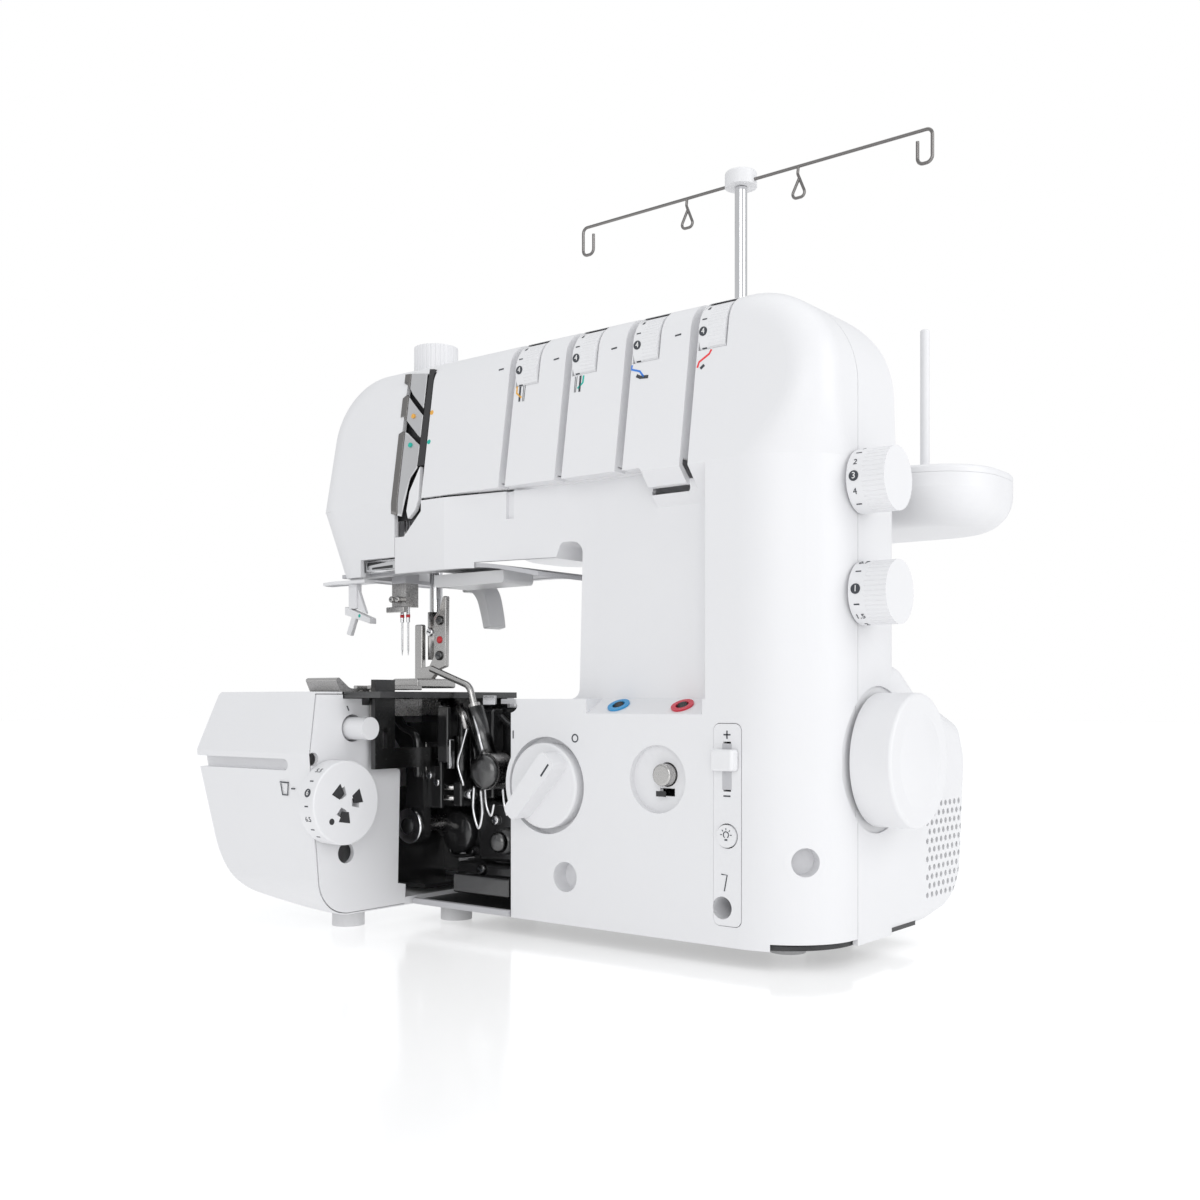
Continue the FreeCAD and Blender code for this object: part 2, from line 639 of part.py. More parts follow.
def make_rear_cover():
    """The back shell with the motor bulge and its staggered vent holes."""
    cover = SHELL.common(REAR_SPACE).cut(block(-300, FACE_COVER_RIGHT + SEAM, -20, 100, 150, 400))
    rows = 11
    per_row = 8
    pitch_z = 4.2
    pitch_y = 5.2
    for row in range(rows):
        for column in range(per_row):
            y = 107 + column * pitch_y + (pitch_y / 2 if row % 2 else 0)
            z = 21 + row * pitch_z
            cover = cover.cut(rod((BODY_RIGHT - 8, y, z), (BODY_RIGHT + 2, y, z), 1.4))
    for y, z in ((STITCH_KNOB_Y, STITCH_KNOB_Z), (FEED_KNOB_Y, FEED_KNOB_Z)):
        cover = cover.cut(rod((BODY_RIGHT - 24, y, z), (BODY_RIGHT + 6, y, z), KNOB_SHAFT_RADIUS + SHAFT_PLAY))
    cover = cover.cut(wheel_dish())
    cover = cover.cut(block(HEAD_LEFT, HEAD_TIP_X + 4, 0, BODY_BACK - WALL - 6, HEAD_TIP_Z - 6, HEAD_BOTTOM + 3))
    cover = cover.cut(block(OPENING_LEFT - 2, BODY_RIGHT - WALL, 0, BODY_BACK - WALL, 0, FOOT_HEIGHT + WALL + 0.5))
    cover = cover.cut(block(BULGE_LEFT + WALL, BODY_RIGHT - WALL, 0, 100, 0, FOOT_HEIGHT + WALL + 0.5))
    cover = cover.cut(block(-120, -40, 30, BODY_BACK - WALL, BED_TOP - 4, BED_TOP + 4))
    cover = cover.cut(block(OPENING_LEFT - 1, OPENING_LEFT + 5, 30, BODY_BACK - 6, FOOT_HEIGHT - 1, BED_TOP - 4))
    inlet = block(BULGE_LEFT + 3.7, BULGE_LEFT + 31.3, 120, 170, 23.7, 46.3)
    cover = cover.cut(inlet)
    neck = block(MAST_X - 40, MAST_X + 40, 60, 100, 204, 216)
    save("rear_cover", cover.cut(neck))


for maker in (make_face_cover, make_front_cover, make_rear_cover):
    maker()


# ---- base, feet and free arm housing ----
def make_base():
    """The moulded floor of the machine, with its tray in the looper opening, and four feet."""
    floor = block(OPENING_LEFT + SEAM, BODY_RIGHT - WALL - SEAM, WALL + SEAM, BODY_BACK - WALL - SEAM,
                  FOOT_HEIGHT, FOOT_HEIGHT + 2)
    corner = rod((BODY_RIGHT - CORNER_RADIUS, CORNER_RADIUS, FOOT_HEIGHT),
                 (BODY_RIGHT - CORNER_RADIUS, CORNER_RADIUS, FOOT_HEIGHT + 2), CORNER_RADIUS - WALL - SEAM)
    square = block(BODY_RIGHT - CORNER_RADIUS, BODY_RIGHT, 0, CORNER_RADIUS, 0, 20)
    floor = floor.cut(square.cut(corner))
    back = block(BULGE_LEFT + WALL + SEAM, BODY_RIGHT - WALL - SEAM, BODY_BACK - WALL - SEAM, 100,
                 FOOT_HEIGHT, FOOT_HEIGHT + 2)
    lip = block(OPENING_LEFT + SEAM, -SEAM, 1.5, WALL + SEAM, FOOT_HEIGHT, FOOT_HEIGHT + 2)
    save("base_pan", joined(floor, back, lip))
    feet = [rod((x, y, 0), (x, y, FOOT_HEIGHT), 8.0)
            for x, y in ((-52, 16), (-52, 66), (BODY_RIGHT - 38, 44), (BODY_RIGHT - 38, 88))]
    arm_foot = rod((-82, -30, 0), (-82, -30, FOOT_HEIGHT + 3), 8.0).cut(HOUSING)
    save("rubber_feet", *feet, arm_foot)


def housing_block(inset):
    """The free arm housing as one block, with its surface moved inwards by inset."""
    front = [
        (OPENING_LEFT - SEAM, FOOT_HEIGHT, 0),
        (OPENING_LEFT - SEAM, HOUSING_TOP, 0),
        (HOUSING_LEFT + 14, HOUSING_TOP, 4),
        (HOUSING_LEFT, HOUSING_WAIST, 5),
        (HOUSING_LEFT + 17, 20, 36),
    ]
    side = [
        (-62.9, HOUSING_TOP, 0),
        (HOUSING_FRONT, HOUSING_WAIST, 0),
        (-61, 11, 20),
        (-44, FOOT_HEIGHT, 0),
        (BODY_BACK - 2, FOOT_HEIGHT, 0),
        (BODY_BACK - 2, HOUSING_TOP, 6),
    ]
    face = outline(front, lambda a, b: V(a, HOUSING_FRONT - 5, b))
    if inset:
        face = face.makeOffset2D(-inset)
    high = face.extrude(V(0, BODY_BACK - HOUSING_FRONT + 10, 0))
    return high.common(side_prism(side, HOUSING_LEFT - 5, OPENING_LEFT + 5, -inset)).Solids[0]


HOUSING = housing_block(0)


def plate_outline(grow):
    """The stepped outline of the side plate, in y and z."""
    return [
        (-62.5 - grow, 114.6 + grow, 0),
        (-66.2 - grow, HOUSING_WAIST, 0),
        (-59.6 - grow, 12 - grow, 18),
        (-44, FOOT_HEIGHT + 1 - grow, 0),
        (-5.8, FOOT_HEIGHT + 1 - grow, 0),
        (-5.3, 18.6, 0),
        (-10.6, 19.7, 0),
        (-9.2, 76.6, 0),
        (-16.8, 79.5, 0),
        (-15.3, 109, 0),
        (-34.4, 109.5, 0),
        (-34.4, 114.6 + grow, 0),
    ]


def make_housing():
    """The white cover at the left that the cloth passes over, with its dust slot."""
    cover = HOUSING.cut(housing_block(WALL))
    rail = block(HOUSING_LEFT, -79, HOUSING_FRONT - 2, HOUSING_FRONT + SLOT_DEPTH + WALL + 3, 76, 86)
    cover = cover.fuse(rail.common(HOUSING))
    slot_z = 81.0
    depth = HOUSING_FRONT + SLOT_DEPTH + 1
    slot = block(HOUSING_LEFT - 3, -86, HOUSING_FRONT - 5, depth, slot_z - SLOT_HEIGHT / 2, slot_z + SLOT_HEIGHT / 2)
    end = rod((-86, HOUSING_FRONT - 5, slot_z), (-86, depth, slot_z), SLOT_HEIGHT / 2)
    cover = cover.cut(slot).cut(end)
    open_side = side_prism(plate_outline(SEAM), OPENING_LEFT - 4, OPENING_LEFT + 4)
    cover = cover.cut(open_side)
    behind = block(OPENING_LEFT - 4, OPENING_LEFT + 4, -34, BODY_BACK - 6, FOOT_HEIGHT + 4, HOUSING_TOP - 4)
    cover = cover.cut(behind)
    cover = cover.cut(block(PLATE_LEFT - SEAM, OPENING_LEFT + 4, -46.5, 50.5, PLATE_TOP - PLATE_THICK - SEAM,
                            HOUSING_TOP + 1))
    cover = cover.cut(block(-100, OPENING_LEFT + 4, -40, 70, FOOT_HEIGHT + 12, HOUSING_TOP - 1))
    save("free_arm_housing", cover)


def make_side_plate():
    """The flat plate that closes the housing's right side and carries the width dial."""
    plate = side_prism(plate_outline(0), OPENING_LEFT - PLATE_THICKNESS, OPENING_LEFT)
    boss = rod((OPENING_LEFT - 14, WIDTH_DIAL_Y, WIDTH_DIAL_Z), (OPENING_LEFT - 1, WIDTH_DIAL_Y, WIDTH_DIAL_Z),
               KNOB_SHAFT_RADIUS + 2.5)
    fine_boss = rod((OPENING_LEFT - 14, FINE_KNOB_Y, FINE_KNOB_Z), (OPENING_LEFT - 1, FINE_KNOB_Y, FINE_KNOB_Z),
                    FINE_KNOB_RADIUS + 3)
    plate = joined(plate, boss, fine_boss)
    plate = plate.cut(rod((OPENING_LEFT - 20, WIDTH_DIAL_Y, WIDTH_DIAL_Z),
                          (OPENING_LEFT + 2, WIDTH_DIAL_Y, WIDTH_DIAL_Z), KNOB_SHAFT_RADIUS + RUNNING_FIT))
    plate = plate.cut(rod((OPENING_LEFT - 6, FINE_KNOB_Y, FINE_KNOB_Z),
                          (OPENING_LEFT + 2, FINE_KNOB_Y, FINE_KNOB_Z), FINE_KNOB_RADIUS + 1.2))
    plate = plate.cut(rod((OPENING_LEFT - 20, FINE_KNOB_Y, FINE_KNOB_Z),
                          (OPENING_LEFT + 2, FINE_KNOB_Y, FINE_KNOB_Z), KNOB_SHAFT_RADIUS - 1 + RUNNING_FIT))
    plate = plate.cut(rod((OPENING_LEFT - 5, PLATE_HOLE_Y, PLATE_HOLE_Z),
                          (OPENING_LEFT + 2, PLATE_HOLE_Y, PLATE_HOLE_Z), PLATE_HOLE_RADIUS))
    plate = plate.cut(rod((OPENING_LEFT - 5, -64.6, 84), (OPENING_LEFT + 2, -64.6, 84), 3.2))
    plate = plate.cut(block(OPENING_LEFT - 5, OPENING_LEFT + 1, PLATE_FRONT - SEAM, 60,
                            PLATE_TOP - PLATE_THICK - SEAM, PLATE_TOP + 4))
    save("free_arm_side_plate", plate)


def knurled(start, end, radius, count, depth):
    """A round knob along x or z whose rim carries shallow straight flutes."""
    knob = rod(start, end, radius)
    axis = (V(*end) - V(*start)).normalize()
    across = V(0, 0, 1) if abs(axis.z) < 0.5 else V(1, 0, 0)
    for index in range(count):
        turn = FreeCAD.Rotation(axis, 360.0 * index / count)
        place = V(*start) + turn.multVec(across) * (radius + depth * 0.4) - axis * 1.0
        knob = knob.cut(Part.makeCylinder(depth, (V(*end) - V(*start)).Length + 2.0, place, axis))
    return knob


def make_housing_dials():
    """The cutting width dial with its three windows, and the fine adjuster above it."""
    x0 = OPENING_LEFT + 1.0
    x1 = x0 + WIDTH_DIAL_THICK
    dial = rod((x0, WIDTH_DIAL_Y, WIDTH_DIAL_Z), (x1, WIDTH_DIAL_Y, WIDTH_DIAL_Z), WIDTH_DIAL_RADIUS)
    dial = rounded(dial, lambda box, edge: 0.8 if box.XMin > x1 - 0.1 else None)
    for index in range(3):
        angle = math.radians(90 + 120 * index + 30)
        window = [
            (3.2, -1.8, 0),
            (7.6, -2.8, 0),
            (7.6, 2.8, 0),
            (3.2, 1.8, 0),
        ]
        turned = [(WIDTH_DIAL_Y + a * math.cos(angle) - b * math.sin(angle),
                   WIDTH_DIAL_Z + a * math.sin(angle) + b * math.cos(angle), r) for a, b, r in window]
        dial = dial.cut(side_prism(turned, x1 - 4, x1 + 1))
    shaft = rod((OPENING_LEFT - 12, WIDTH_DIAL_Y, WIDTH_DIAL_Z), (x0 + 1, WIDTH_DIAL_Y, WIDTH_DIAL_Z),
                KNOB_SHAFT_RADIUS)
    save("cutting_width_dial", joined(dial, shaft))
    knob = rod((OPENING_LEFT - 3, FINE_KNOB_Y, FINE_KNOB_Z),
               (OPENING_LEFT + FINE_KNOB_LENGTH, FINE_KNOB_Y, FINE_KNOB_Z), FINE_KNOB_RADIUS)
    stem = rod((OPENING_LEFT - 12, FINE_KNOB_Y, FINE_KNOB_Z), (OPENING_LEFT, FINE_KNOB_Y, FINE_KNOB_Z),
               KNOB_SHAFT_RADIUS - 1)
    save("fine_adjust_knob", joined(knob, stem))


# ---- cast frame, shafts and drive ----
SHAFT_BLOCKS = ((-60.0, -50.0), (16.0, 28.0), (COLUMN_LEFT + 4, COLUMN_LEFT + 16))


def make_frame():
    """The cast frame: an upright plate, a column, the head beam and the bearing blocks."""
    back = FRAME_FRONT + FRAME_THICK
    plate = front_prism([
        (FRAME_LEFT, 20, 6), (FRAME_RIGHT, 14, 6), (FRAME_RIGHT, 100, 6), (20, 108, 6), (FRAME_LEFT, 108, 6),
    ], FRAME_FRONT, back)
    foot = block(-60, FRAME_RIGHT, FRAME_FRONT, 72, FOOT_HEIGHT + 2, 22)
    column = block(COLUMN_LEFT, FRAME_RIGHT, FRAME_FRONT, 66, 90, BEAM_Z + BEAM_HEIGHT)
    beam = block(-118, FRAME_RIGHT, 46, 66, BEAM_Z, BEAM_Z + BEAM_HEIGHT)
    cheek = block(CHEEK_LEFT, CHEEK_LEFT + CHEEK_THICK, CHEEK_FRONT, FRAME_FRONT + 1, SILL_BOTTOM, CHEEK_TOP)
    window = block(CHEEK_LEFT - 1, CHEEK_LEFT + CHEEK_THICK + 1, CHEEK_FRONT - 1, LOWER_LEVER_BACK + 2,
                   LOWER_PIVOT_Z + 20, CHEEK_TOP + 1)
    cheek = cheek.cut(window)
    sill = block(CHEEK_LEFT, OPENING_LEFT + 1.5, CHEEK_FRONT, FRAME_FRONT + 1, SILL_BOTTOM, SILL_BOTTOM + 2)
    frame = joined(plate, foot, column, beam, cheek, sill)
    for start, end in SHAFT_BLOCKS:
        frame = frame.fuse(block(start, end, FRAME_FRONT, WHEEL_Y + 11, WHEEL_Z - 13, WHEEL_Z + 11))
    guide_top = block(PRESSER_X - 16, PRESSER_X + 9, NEEDLE_Y - 8, 66, BEAM_Z - 6, BEAM_Z + 4)
    guide_low = block(PRESSER_X - 16, PRESSER_X + 9, NEEDLE_Y - 8, 60, HEAD_BOTTOM + 9, HEAD_BOTTOM + 19)
    hanger = block(PRESSER_X - 16, PRESSER_X + 9, 52, 60, HEAD_BOTTOM + 9, BEAM_Z + 8)
    frame = joined(frame, guide_top, guide_low, hanger)
    for x, z in ((LOWER_PIVOT_X, LOWER_PIVOT_Z), (UPPER_PIVOT_X, UPPER_PIVOT_Z)):
        frame = frame.fuse(rod((x, FRAME_FRONT - 8, z), (x, back + 6, z), LOOPER_SHAFT_RADIUS + 4))
    knife_guide = rod((KNIFE_LEFT + KNIFE_THICK / 2, 31, 58), (KNIFE_LEFT + KNIFE_THICK / 2, 31, 108), 2.5)
    guide_foot = block(KNIFE_LEFT - 1.5, KNIFE_LEFT + KNIFE_THICK + 1.5, 27, FRAME_FRONT + 1, 56, 62)
    frame = joined(frame, knife_guide, guide_foot)
    frame = frame.cut(rod((-70, WHEEL_Y, WHEEL_Z), (BODY_RIGHT, WHEEL_Y, WHEEL_Z), SHAFT_RADIUS + 3))
    for x, z in ((LOWER_PIVOT_X, LOWER_PIVOT_Z), (UPPER_PIVOT_X, UPPER_PIVOT_Z)):
        frame = frame.cut(rod((x, 20, z), (x, 70, z), LOOPER_SHAFT_RADIUS + RUNNING_FIT))
    for x, y, radius in ((NEEDLE_X, NEEDLE_Y, NEEDLE_BAR_RADIUS), (PRESSER_X, PRESSER_Y, PRESSER_BAR_RADIUS)):
        frame = frame.cut(rod((x, y, HEAD_BOTTOM), (x, y, BODY_TOP), radius + RUNNING_FIT))
    save("main_frame", frame.removeSplitter())
    bushes = [tube((start, WHEEL_Y, WHEEL_Z), (end, WHEEL_Y, WHEEL_Z), SHAFT_RADIUS + 3, SHAFT_RADIUS + RUNNING_FIT)
              for start, end in SHAFT_BLOCKS]
    save("shaft_bearings", *bushes)
    screws = []
    for x, z in ((-94, 63), (-94, 35), (-70, 27), (-46, 24), (-10, 30), (30, 24), (60, 60)):
        screws.append(rod((x, FRAME_FRONT - 2.4, z), (x, FRAME_FRONT, z), 3.4))
    save("frame_screws", *screws)


def make_shaft():
    """The main shaft with its belt pulley and two eccentrics, and the handwheel on its end."""
    end = BODY_RIGHT + WHEEL_GAP + 12
    shaft = rod((-66, WHEEL_Y, WHEEL_Z), (end, WHEEL_Y, WHEEL_Z), SHAFT_RADIUS)
    pulley = rod((PULLEY_X, WHEEL_Y, WHEEL_Z), (PULLEY_X + PULLEY_WIDTH, WHEEL_Y, WHEEL_Z), BIG_PULLEY_RADIUS)
    cams = [rod((x, WHEEL_Y + CAM_OFFSET, WHEEL_Z), (x + 6, WHEEL_Y + CAM_OFFSET, WHEEL_Z), CAM_RADIUS)
            for x in (-44, -2)]
    save("main_shaft", joined(shaft, pulley, *cams))
    x0 = BODY_RIGHT + WHEEL_GAP
    x1 = x0 + WHEEL_WIDTH
    wheel = rod((x0, WHEEL_Y, WHEEL_Z), (x1 - 1.5, WHEEL_Y, WHEEL_Z), WHEEL_RADIUS)
    wheel = rounded(wheel, lambda box, edge: 1.6 if box.XMin > x1 - 2 else None)
    face_radius = WHEEL_RADIUS - 3
    dome_radius = (face_radius ** 2 + 2.5 ** 2) / 5
    ball = Part.makeSphere(dome_radius, V(x1 - dome_radius, WHEEL_Y, WHEEL_Z))
    wheel = wheel.fuse(ball.common(rod((x1 - 3, WHEEL_Y, WHEEL_Z), (x1 + 1, WHEEL_Y, WHEEL_Z), face_radius)))
    wheel = wheel.removeSplitter()
    wheel = wheel.cut(rod((x0 - 1, WHEEL_Y, WHEEL_Z), (end, WHEEL_Y, WHEEL_Z), SHAFT_RADIUS))
    save("handwheel", wheel)


def belt_loop(extra, x0, x1):
    """The stadium-like space around both pulleys, extra beyond their rims."""
    big = BIG_PULLEY_RADIUS + extra
    small = SMALL_PULLEY_RADIUS + extra
    dy = MOTOR_Y - WHEEL_Y
    dz = MOTOR_Z - WHEEL_Z
    apart = math.hypot(dy, dz)
    lean = math.acos((big - small) / apart)
    heading = math.atan2(dz, dy)
    corners = []
    for side, radius, y, z in ((1, big, WHEEL_Y, WHEEL_Z), (1, small, MOTOR_Y, MOTOR_Z),
                               (-1, small, MOTOR_Y, MOTOR_Z), (-1, big, WHEEL_Y, WHEEL_Z)):
        angle = heading + side * lean
        corners.append((y + radius * math.cos(angle), z + radius * math.sin(angle), 0))
    loop = side_prism(corners, x0, x1)
    return joined(loop, rod((x0, WHEEL_Y, WHEEL_Z), (x1, WHEEL_Y, WHEEL_Z), big),
                  rod((x0, MOTOR_Y, MOTOR_Z), (x1, MOTOR_Y, MOTOR_Z), small))


def make_drive():
    """The motor, its pulley and the toothed belt to the main shaft."""
    end = PULLEY_X - 4
    start = end - MOTOR_LENGTH
    motor = rod((start, MOTOR_Y, MOTOR_Z), (end, MOTOR_Y, MOTOR_Z), MOTOR_RADIUS)
    foot = block(start + 6, end - 6, MOTOR_Y - 18, MOTOR_Y + 12, 20, MOTOR_Z)
    motor = joined(motor, foot)
    motor = motor.cut(rod((end - 14, MOTOR_Y, MOTOR_Z), (end + 1, MOTOR_Y, MOTOR_Z), MOTOR_SHAFT_RADIUS + RUNNING_FIT))
    save("motor", motor)
    pulley = rod((PULLEY_X, MOTOR_Y, MOTOR_Z), (PULLEY_X + PULLEY_WIDTH, MOTOR_Y, MOTOR_Z), SMALL_PULLEY_RADIUS)
    spindle = rod((end - 12, MOTOR_Y, MOTOR_Z), (PULLEY_X + 1, MOTOR_Y, MOTOR_Z), MOTOR_SHAFT_RADIUS)
    save("motor_pulley", joined(pulley, spindle))
    belt = belt_loop(BELT_GAP + BELT_THICK, PULLEY_X + 1, PULLEY_X + PULLEY_WIDTH - 1)
    save("drive_belt", belt.cut(belt_loop(BELT_GAP, PULLEY_X, PULLEY_X + PULLEY_WIDTH)))


# ---- needle, presser foot, knives, feed and loopers ----
def make_needles():
    """The needle bar, the clamp on its end and two needles held in the clamp."""
    clamp_top = NEEDLE_TIP_Z + 40
    clamp_low = NEEDLE_TIP_Z + 26
    bar = rod((NEEDLE_X, NEEDLE_Y, clamp_top - 1), (NEEDLE_X, NEEDLE_Y, BEAM_Z + 20), NEEDLE_BAR_RADIUS)
    save("needle_bar", bar)
    clamp = block(NEEDLE_X - 5.5, NEEDLE_X + 5.5, NEEDLE_Y - 4.5, NEEDLE_Y + 4.5, clamp_low, clamp_top - 1)
    screws = [rod((x, NEEDLE_Y - 8, clamp_low + 4), (x, NEEDLE_Y - 4, clamp_low + 4), 1.5)
              for x in (NEEDLE_X - NEEDLE_SPACING / 2, NEEDLE_X + NEEDLE_SPACING / 2)]
    clamp = joined(clamp, *screws)
    needles = []
    for side in (-0.5, 0.5):
        x = NEEDLE_X + side * NEEDLE_SPACING
        shank = rod((x, NEEDLE_Y, NEEDLE_TIP_Z + 18), (x, NEEDLE_Y, clamp_low + 8), 1.0)
        blade = rod((x, NEEDLE_Y, NEEDLE_TIP_Z + 3), (x, NEEDLE_Y, NEEDLE_TIP_Z + 19), 0.55)
        tip = Part.makeCone(0.1, 0.55, 3, V(x, NEEDLE_Y, NEEDLE_TIP_Z), V(0, 0, 1))
        needles.append(joined(shank, blade, tip))
        clamp = clamp.cut(rod((x, NEEDLE_Y, clamp_low - 1), (x, NEEDLE_Y, clamp_low + 8), 1.0))
    save("needle_clamp", clamp)
    save("needles", *needles)


def make_presser():
    """The presser bar, the foot on its end, its lifter and pressure knob."""
    foot_bottom = PLATE_TOP + 1.0
    ankle_top = 167.0
    bar = rod((PRESSER_X, PRESSER_Y, ankle_top - 8), (PRESSER_X, PRESSER_Y, BEAM_Z + 30), PRESSER_BAR_RADIUS)
    save("presser_bar", bar)
    ankle = side_prism([
        (PRESSER_Y - 9, foot_bottom + 10, 0),
        (PRESSER_Y + 4, foot_bottom + 2, 3),
        (PRESSER_Y + 8, foot_bottom + 12, 3),
        (PRESSER_Y + 8, 152, 4),
        (PRESSER_Y + 5, ankle_top, 2),
        (PRESSER_Y - 5, ankle_top, 2),
        (PRESSER_Y - 7, 150, 4),
    ], PRESSER_X - 5, PRESSER_X + 7)
    ankle = ankle.cut(rod((PRESSER_X, PRESSER_Y, ankle_top - 8), (PRESSER_X, PRESSER_Y, 200), PRESSER_BAR_RADIUS))
    sole = plan_prism([
        (PRESSER_X - 14, -6, 4), (PRESSER_X + 10, -6, 4), (PRESSER_X + 10, PRESSER_Y + 8, 4),
        (PRESSER_X - 14, PRESSER_Y + 8, 4),
    ], foot_bottom, foot_bottom + 2.2)
    sole = sole.cut(block(NEEDLE_X - 4.5, NEEDLE_X + 4.5, NEEDLE_Y - 7, NEEDLE_Y + 5, 100, 130))
    rib = block(PRESSER_X - 3, PRESSER_X + 6, PRESSER_Y - 9, PRESSER_Y + 6, foot_bottom + 1, foot_bottom + 12)
    save("presser_foot", joined(sole, rib, ankle))
    lever = side_prism([
        (48, 172, 3), (66, 172, 3), (76, 152, 2), (70, 148, 2), (61, 160, 8), (48, 164, 2),
    ], PRESSER_X + 14, PRESSER_X + 26)
    pivot = rod((PRESSER_X + 20, 44, 176), (PRESSER_X + 20, 66, 176), 3)
    web = block(PRESSER_X + 17, PRESSER_X + 23, 48, 64, 168, 177)
    save("presser_lifter", joined(lever, web, pivot))
    neck = rod((PRESSER_X, PRESSER_Y, BODY_TOP - 12), (PRESSER_X, PRESSER_Y, PRESSURE_KNOB_TOP - 4), 4)
    cap = knurled((PRESSER_X, PRESSER_Y, BODY_TOP + 0.6), (PRESSER_X, PRESSER_Y, PRESSURE_KNOB_TOP),
                  PRESSURE_KNOB_RADIUS, 30, 0.6)
    save("pressure_knob", joined(neck, cap))
    tab = plan_prism([(-141, 6, 3), (-128, 0, 4), (-110, 4, 0), (-110, 14, 0), (-128, 14, 4)], 171.5, 174.5)
    arm = block(-122, -110, 6, 12, 158, 172.5)
    hook = block(-132, -112, 5, 13, 152, 160)
    save("needle_threader", joined(tab, arm, hook))


def make_plate_and_feed():
    """The needle plate, knives, cloth guide and feed dog."""
    low = PLATE_TOP - PLATE_THICK
    plate = block(PLATE_LEFT, PLATE_RIGHT, PLATE_FRONT, 50, low, PLATE_TOP)
    plate = plate.cut(block(NEEDLE_X - 4, NEEDLE_X + 4, NEEDLE_Y - 3, NEEDLE_Y + 3, 100, 130))
    feed_rows = (NEEDLE_X + 7, NEEDLE_X + 13)
    for x in feed_rows:
        plate = plate.cut(block(x - 1.8, x + 1.8, DOG_FRONT - 3.5, 40, 100, 130))
    plate = plate.cut(block(KNIFE_LEFT - 4.5, KNIFE_LEFT + KNIFE_THICK + 0.8, -32, 38, 100, 130))
    post = block(PLATE_LEFT + 8, PLATE_RIGHT - 4, FRAME_FRONT + 1, FRAME_FRONT + FRAME_THICK - 1, 108, low)
    save("needle_plate", joined(plate, post))
    dog = block(feed_rows[0] - 3, feed_rows[1] + 3, DOG_FRONT, 36, low - 9, low - 2)
    for x in feed_rows:
        bar = block(x - 1.0, x + 1.0, DOG_FRONT, 36, low - 3, PLATE_TOP + 0.2)
        for index in range(6):
            y = DOG_FRONT + 1.5 + index * 3
            bar = bar.cut(side_prism([(y, PLATE_TOP - 0.8, 0), (y + 1.2, PLATE_TOP + 0.6, 0),
                                      (y - 1.2, PLATE_TOP + 0.6, 0)], x - 2, x + 2))
        dog = dog.fuse(bar)
    save("feed_dog", dog.removeSplitter())
    blade_left = KNIFE_LEFT
    blade_right = KNIFE_LEFT + KNIFE_THICK
    blade = block(blade_left, blade_right, -31, -18, 78, 122)
    blade = blade.cut(block(blade_left - 1, blade_right + 1, -26, -23, 88, 98))
    arm = block(blade_left, blade_right, -20, 27, 78, 88)
    sleeve_x = (blade_left + blade_right) / 2
    sleeve = rod((sleeve_x, 31, 75), (sleeve_x, 31, 93), 5)
    moving = joined(blade, arm, sleeve)
    moving = moving.cut(rod((sleeve_x, 31, 60), (sleeve_x, 31, 110), 2.5 + RUNNING_FIT))
    save("upper_knife", moving)
    fixed = block(blade_left - 2.4, blade_left - 0.5, -30, -20, 96, PLATE_TOP + 1)
    rest = block(blade_left - 2.4, blade_left - 0.5, -20, 4, 104, low - 0.5)
    save("lower_knife", joined(fixed, rest))
    guide = side_prism([
        (-46, PLATE_TOP, 0), (-20, PLATE_TOP, 0), (-20, PLATE_TOP + 1.6, 0), (-40, PLATE_TOP + 1.6, 6),
        (-47, PLATE_TOP + 7, 1), (-49, PLATE_TOP + 6, 1),
    ], PLATE_LEFT + 20, KNIFE_LEFT - 5)
    save("cloth_guide", guide)


def make_loopers():
    """Both loopers, each clamped on a short shaft through the cast frame."""
    x = LOWER_PIVOT_X
    z = LOWER_PIVOT_Z
    shaft = rod((x, 8, z), (x, FRAME_FRONT + FRAME_THICK + 9, z), LOOPER_SHAFT_RADIUS)
    save("looper_shaft", shaft)
    lever = front_prism([
        (x - 9, z - 9, 7), (x + 9, z - 9, 7), (x + 8, z + 14, 5), (x + 7, z + 40, 4), (x - 14, z + 56, 6),
        (x - 12, z + 63, 2), (x - 18, z + 63, 2), (x - 18, z + 50, 5), (x - 3, z + 34, 4), (x - 5, z + 12, 5),
    ], LOWER_LEVER_FRONT, LOWER_LEVER_BACK)
    hook_y = (LOWER_LEVER_FRONT + LOWER_LEVER_BACK) / 2
    hook = rod((x - 15, hook_y, z + 60), (x + 4, hook_y, z + 61), 1.2)
    lever = joined(lever, hook)
    lever = lever.cut(rod((x, 0, z), (x, 30, z), LOOPER_SHAFT_RADIUS))
    save("lower_looper", lever)
    x = UPPER_PIVOT_X
    z = UPPER_PIVOT_Z
    hub = rod((x, 3, z), (x, 14, z), 9)
    arm = rod((x, 8, z), (x - 13, 8, z + 33), 3)
    blade = bent_wire([(x - 12.5, 8, z + 31), (x - 16, 8, z + 42), (x - 43, 8, z + 51)], 1.7, 6)
    pivot = rod((x, 3, z), (x, FRAME_FRONT + FRAME_THICK + 1, z), LOOPER_SHAFT_RADIUS)
    save("upper_looper", joined(hub, arm, blade, pivot))


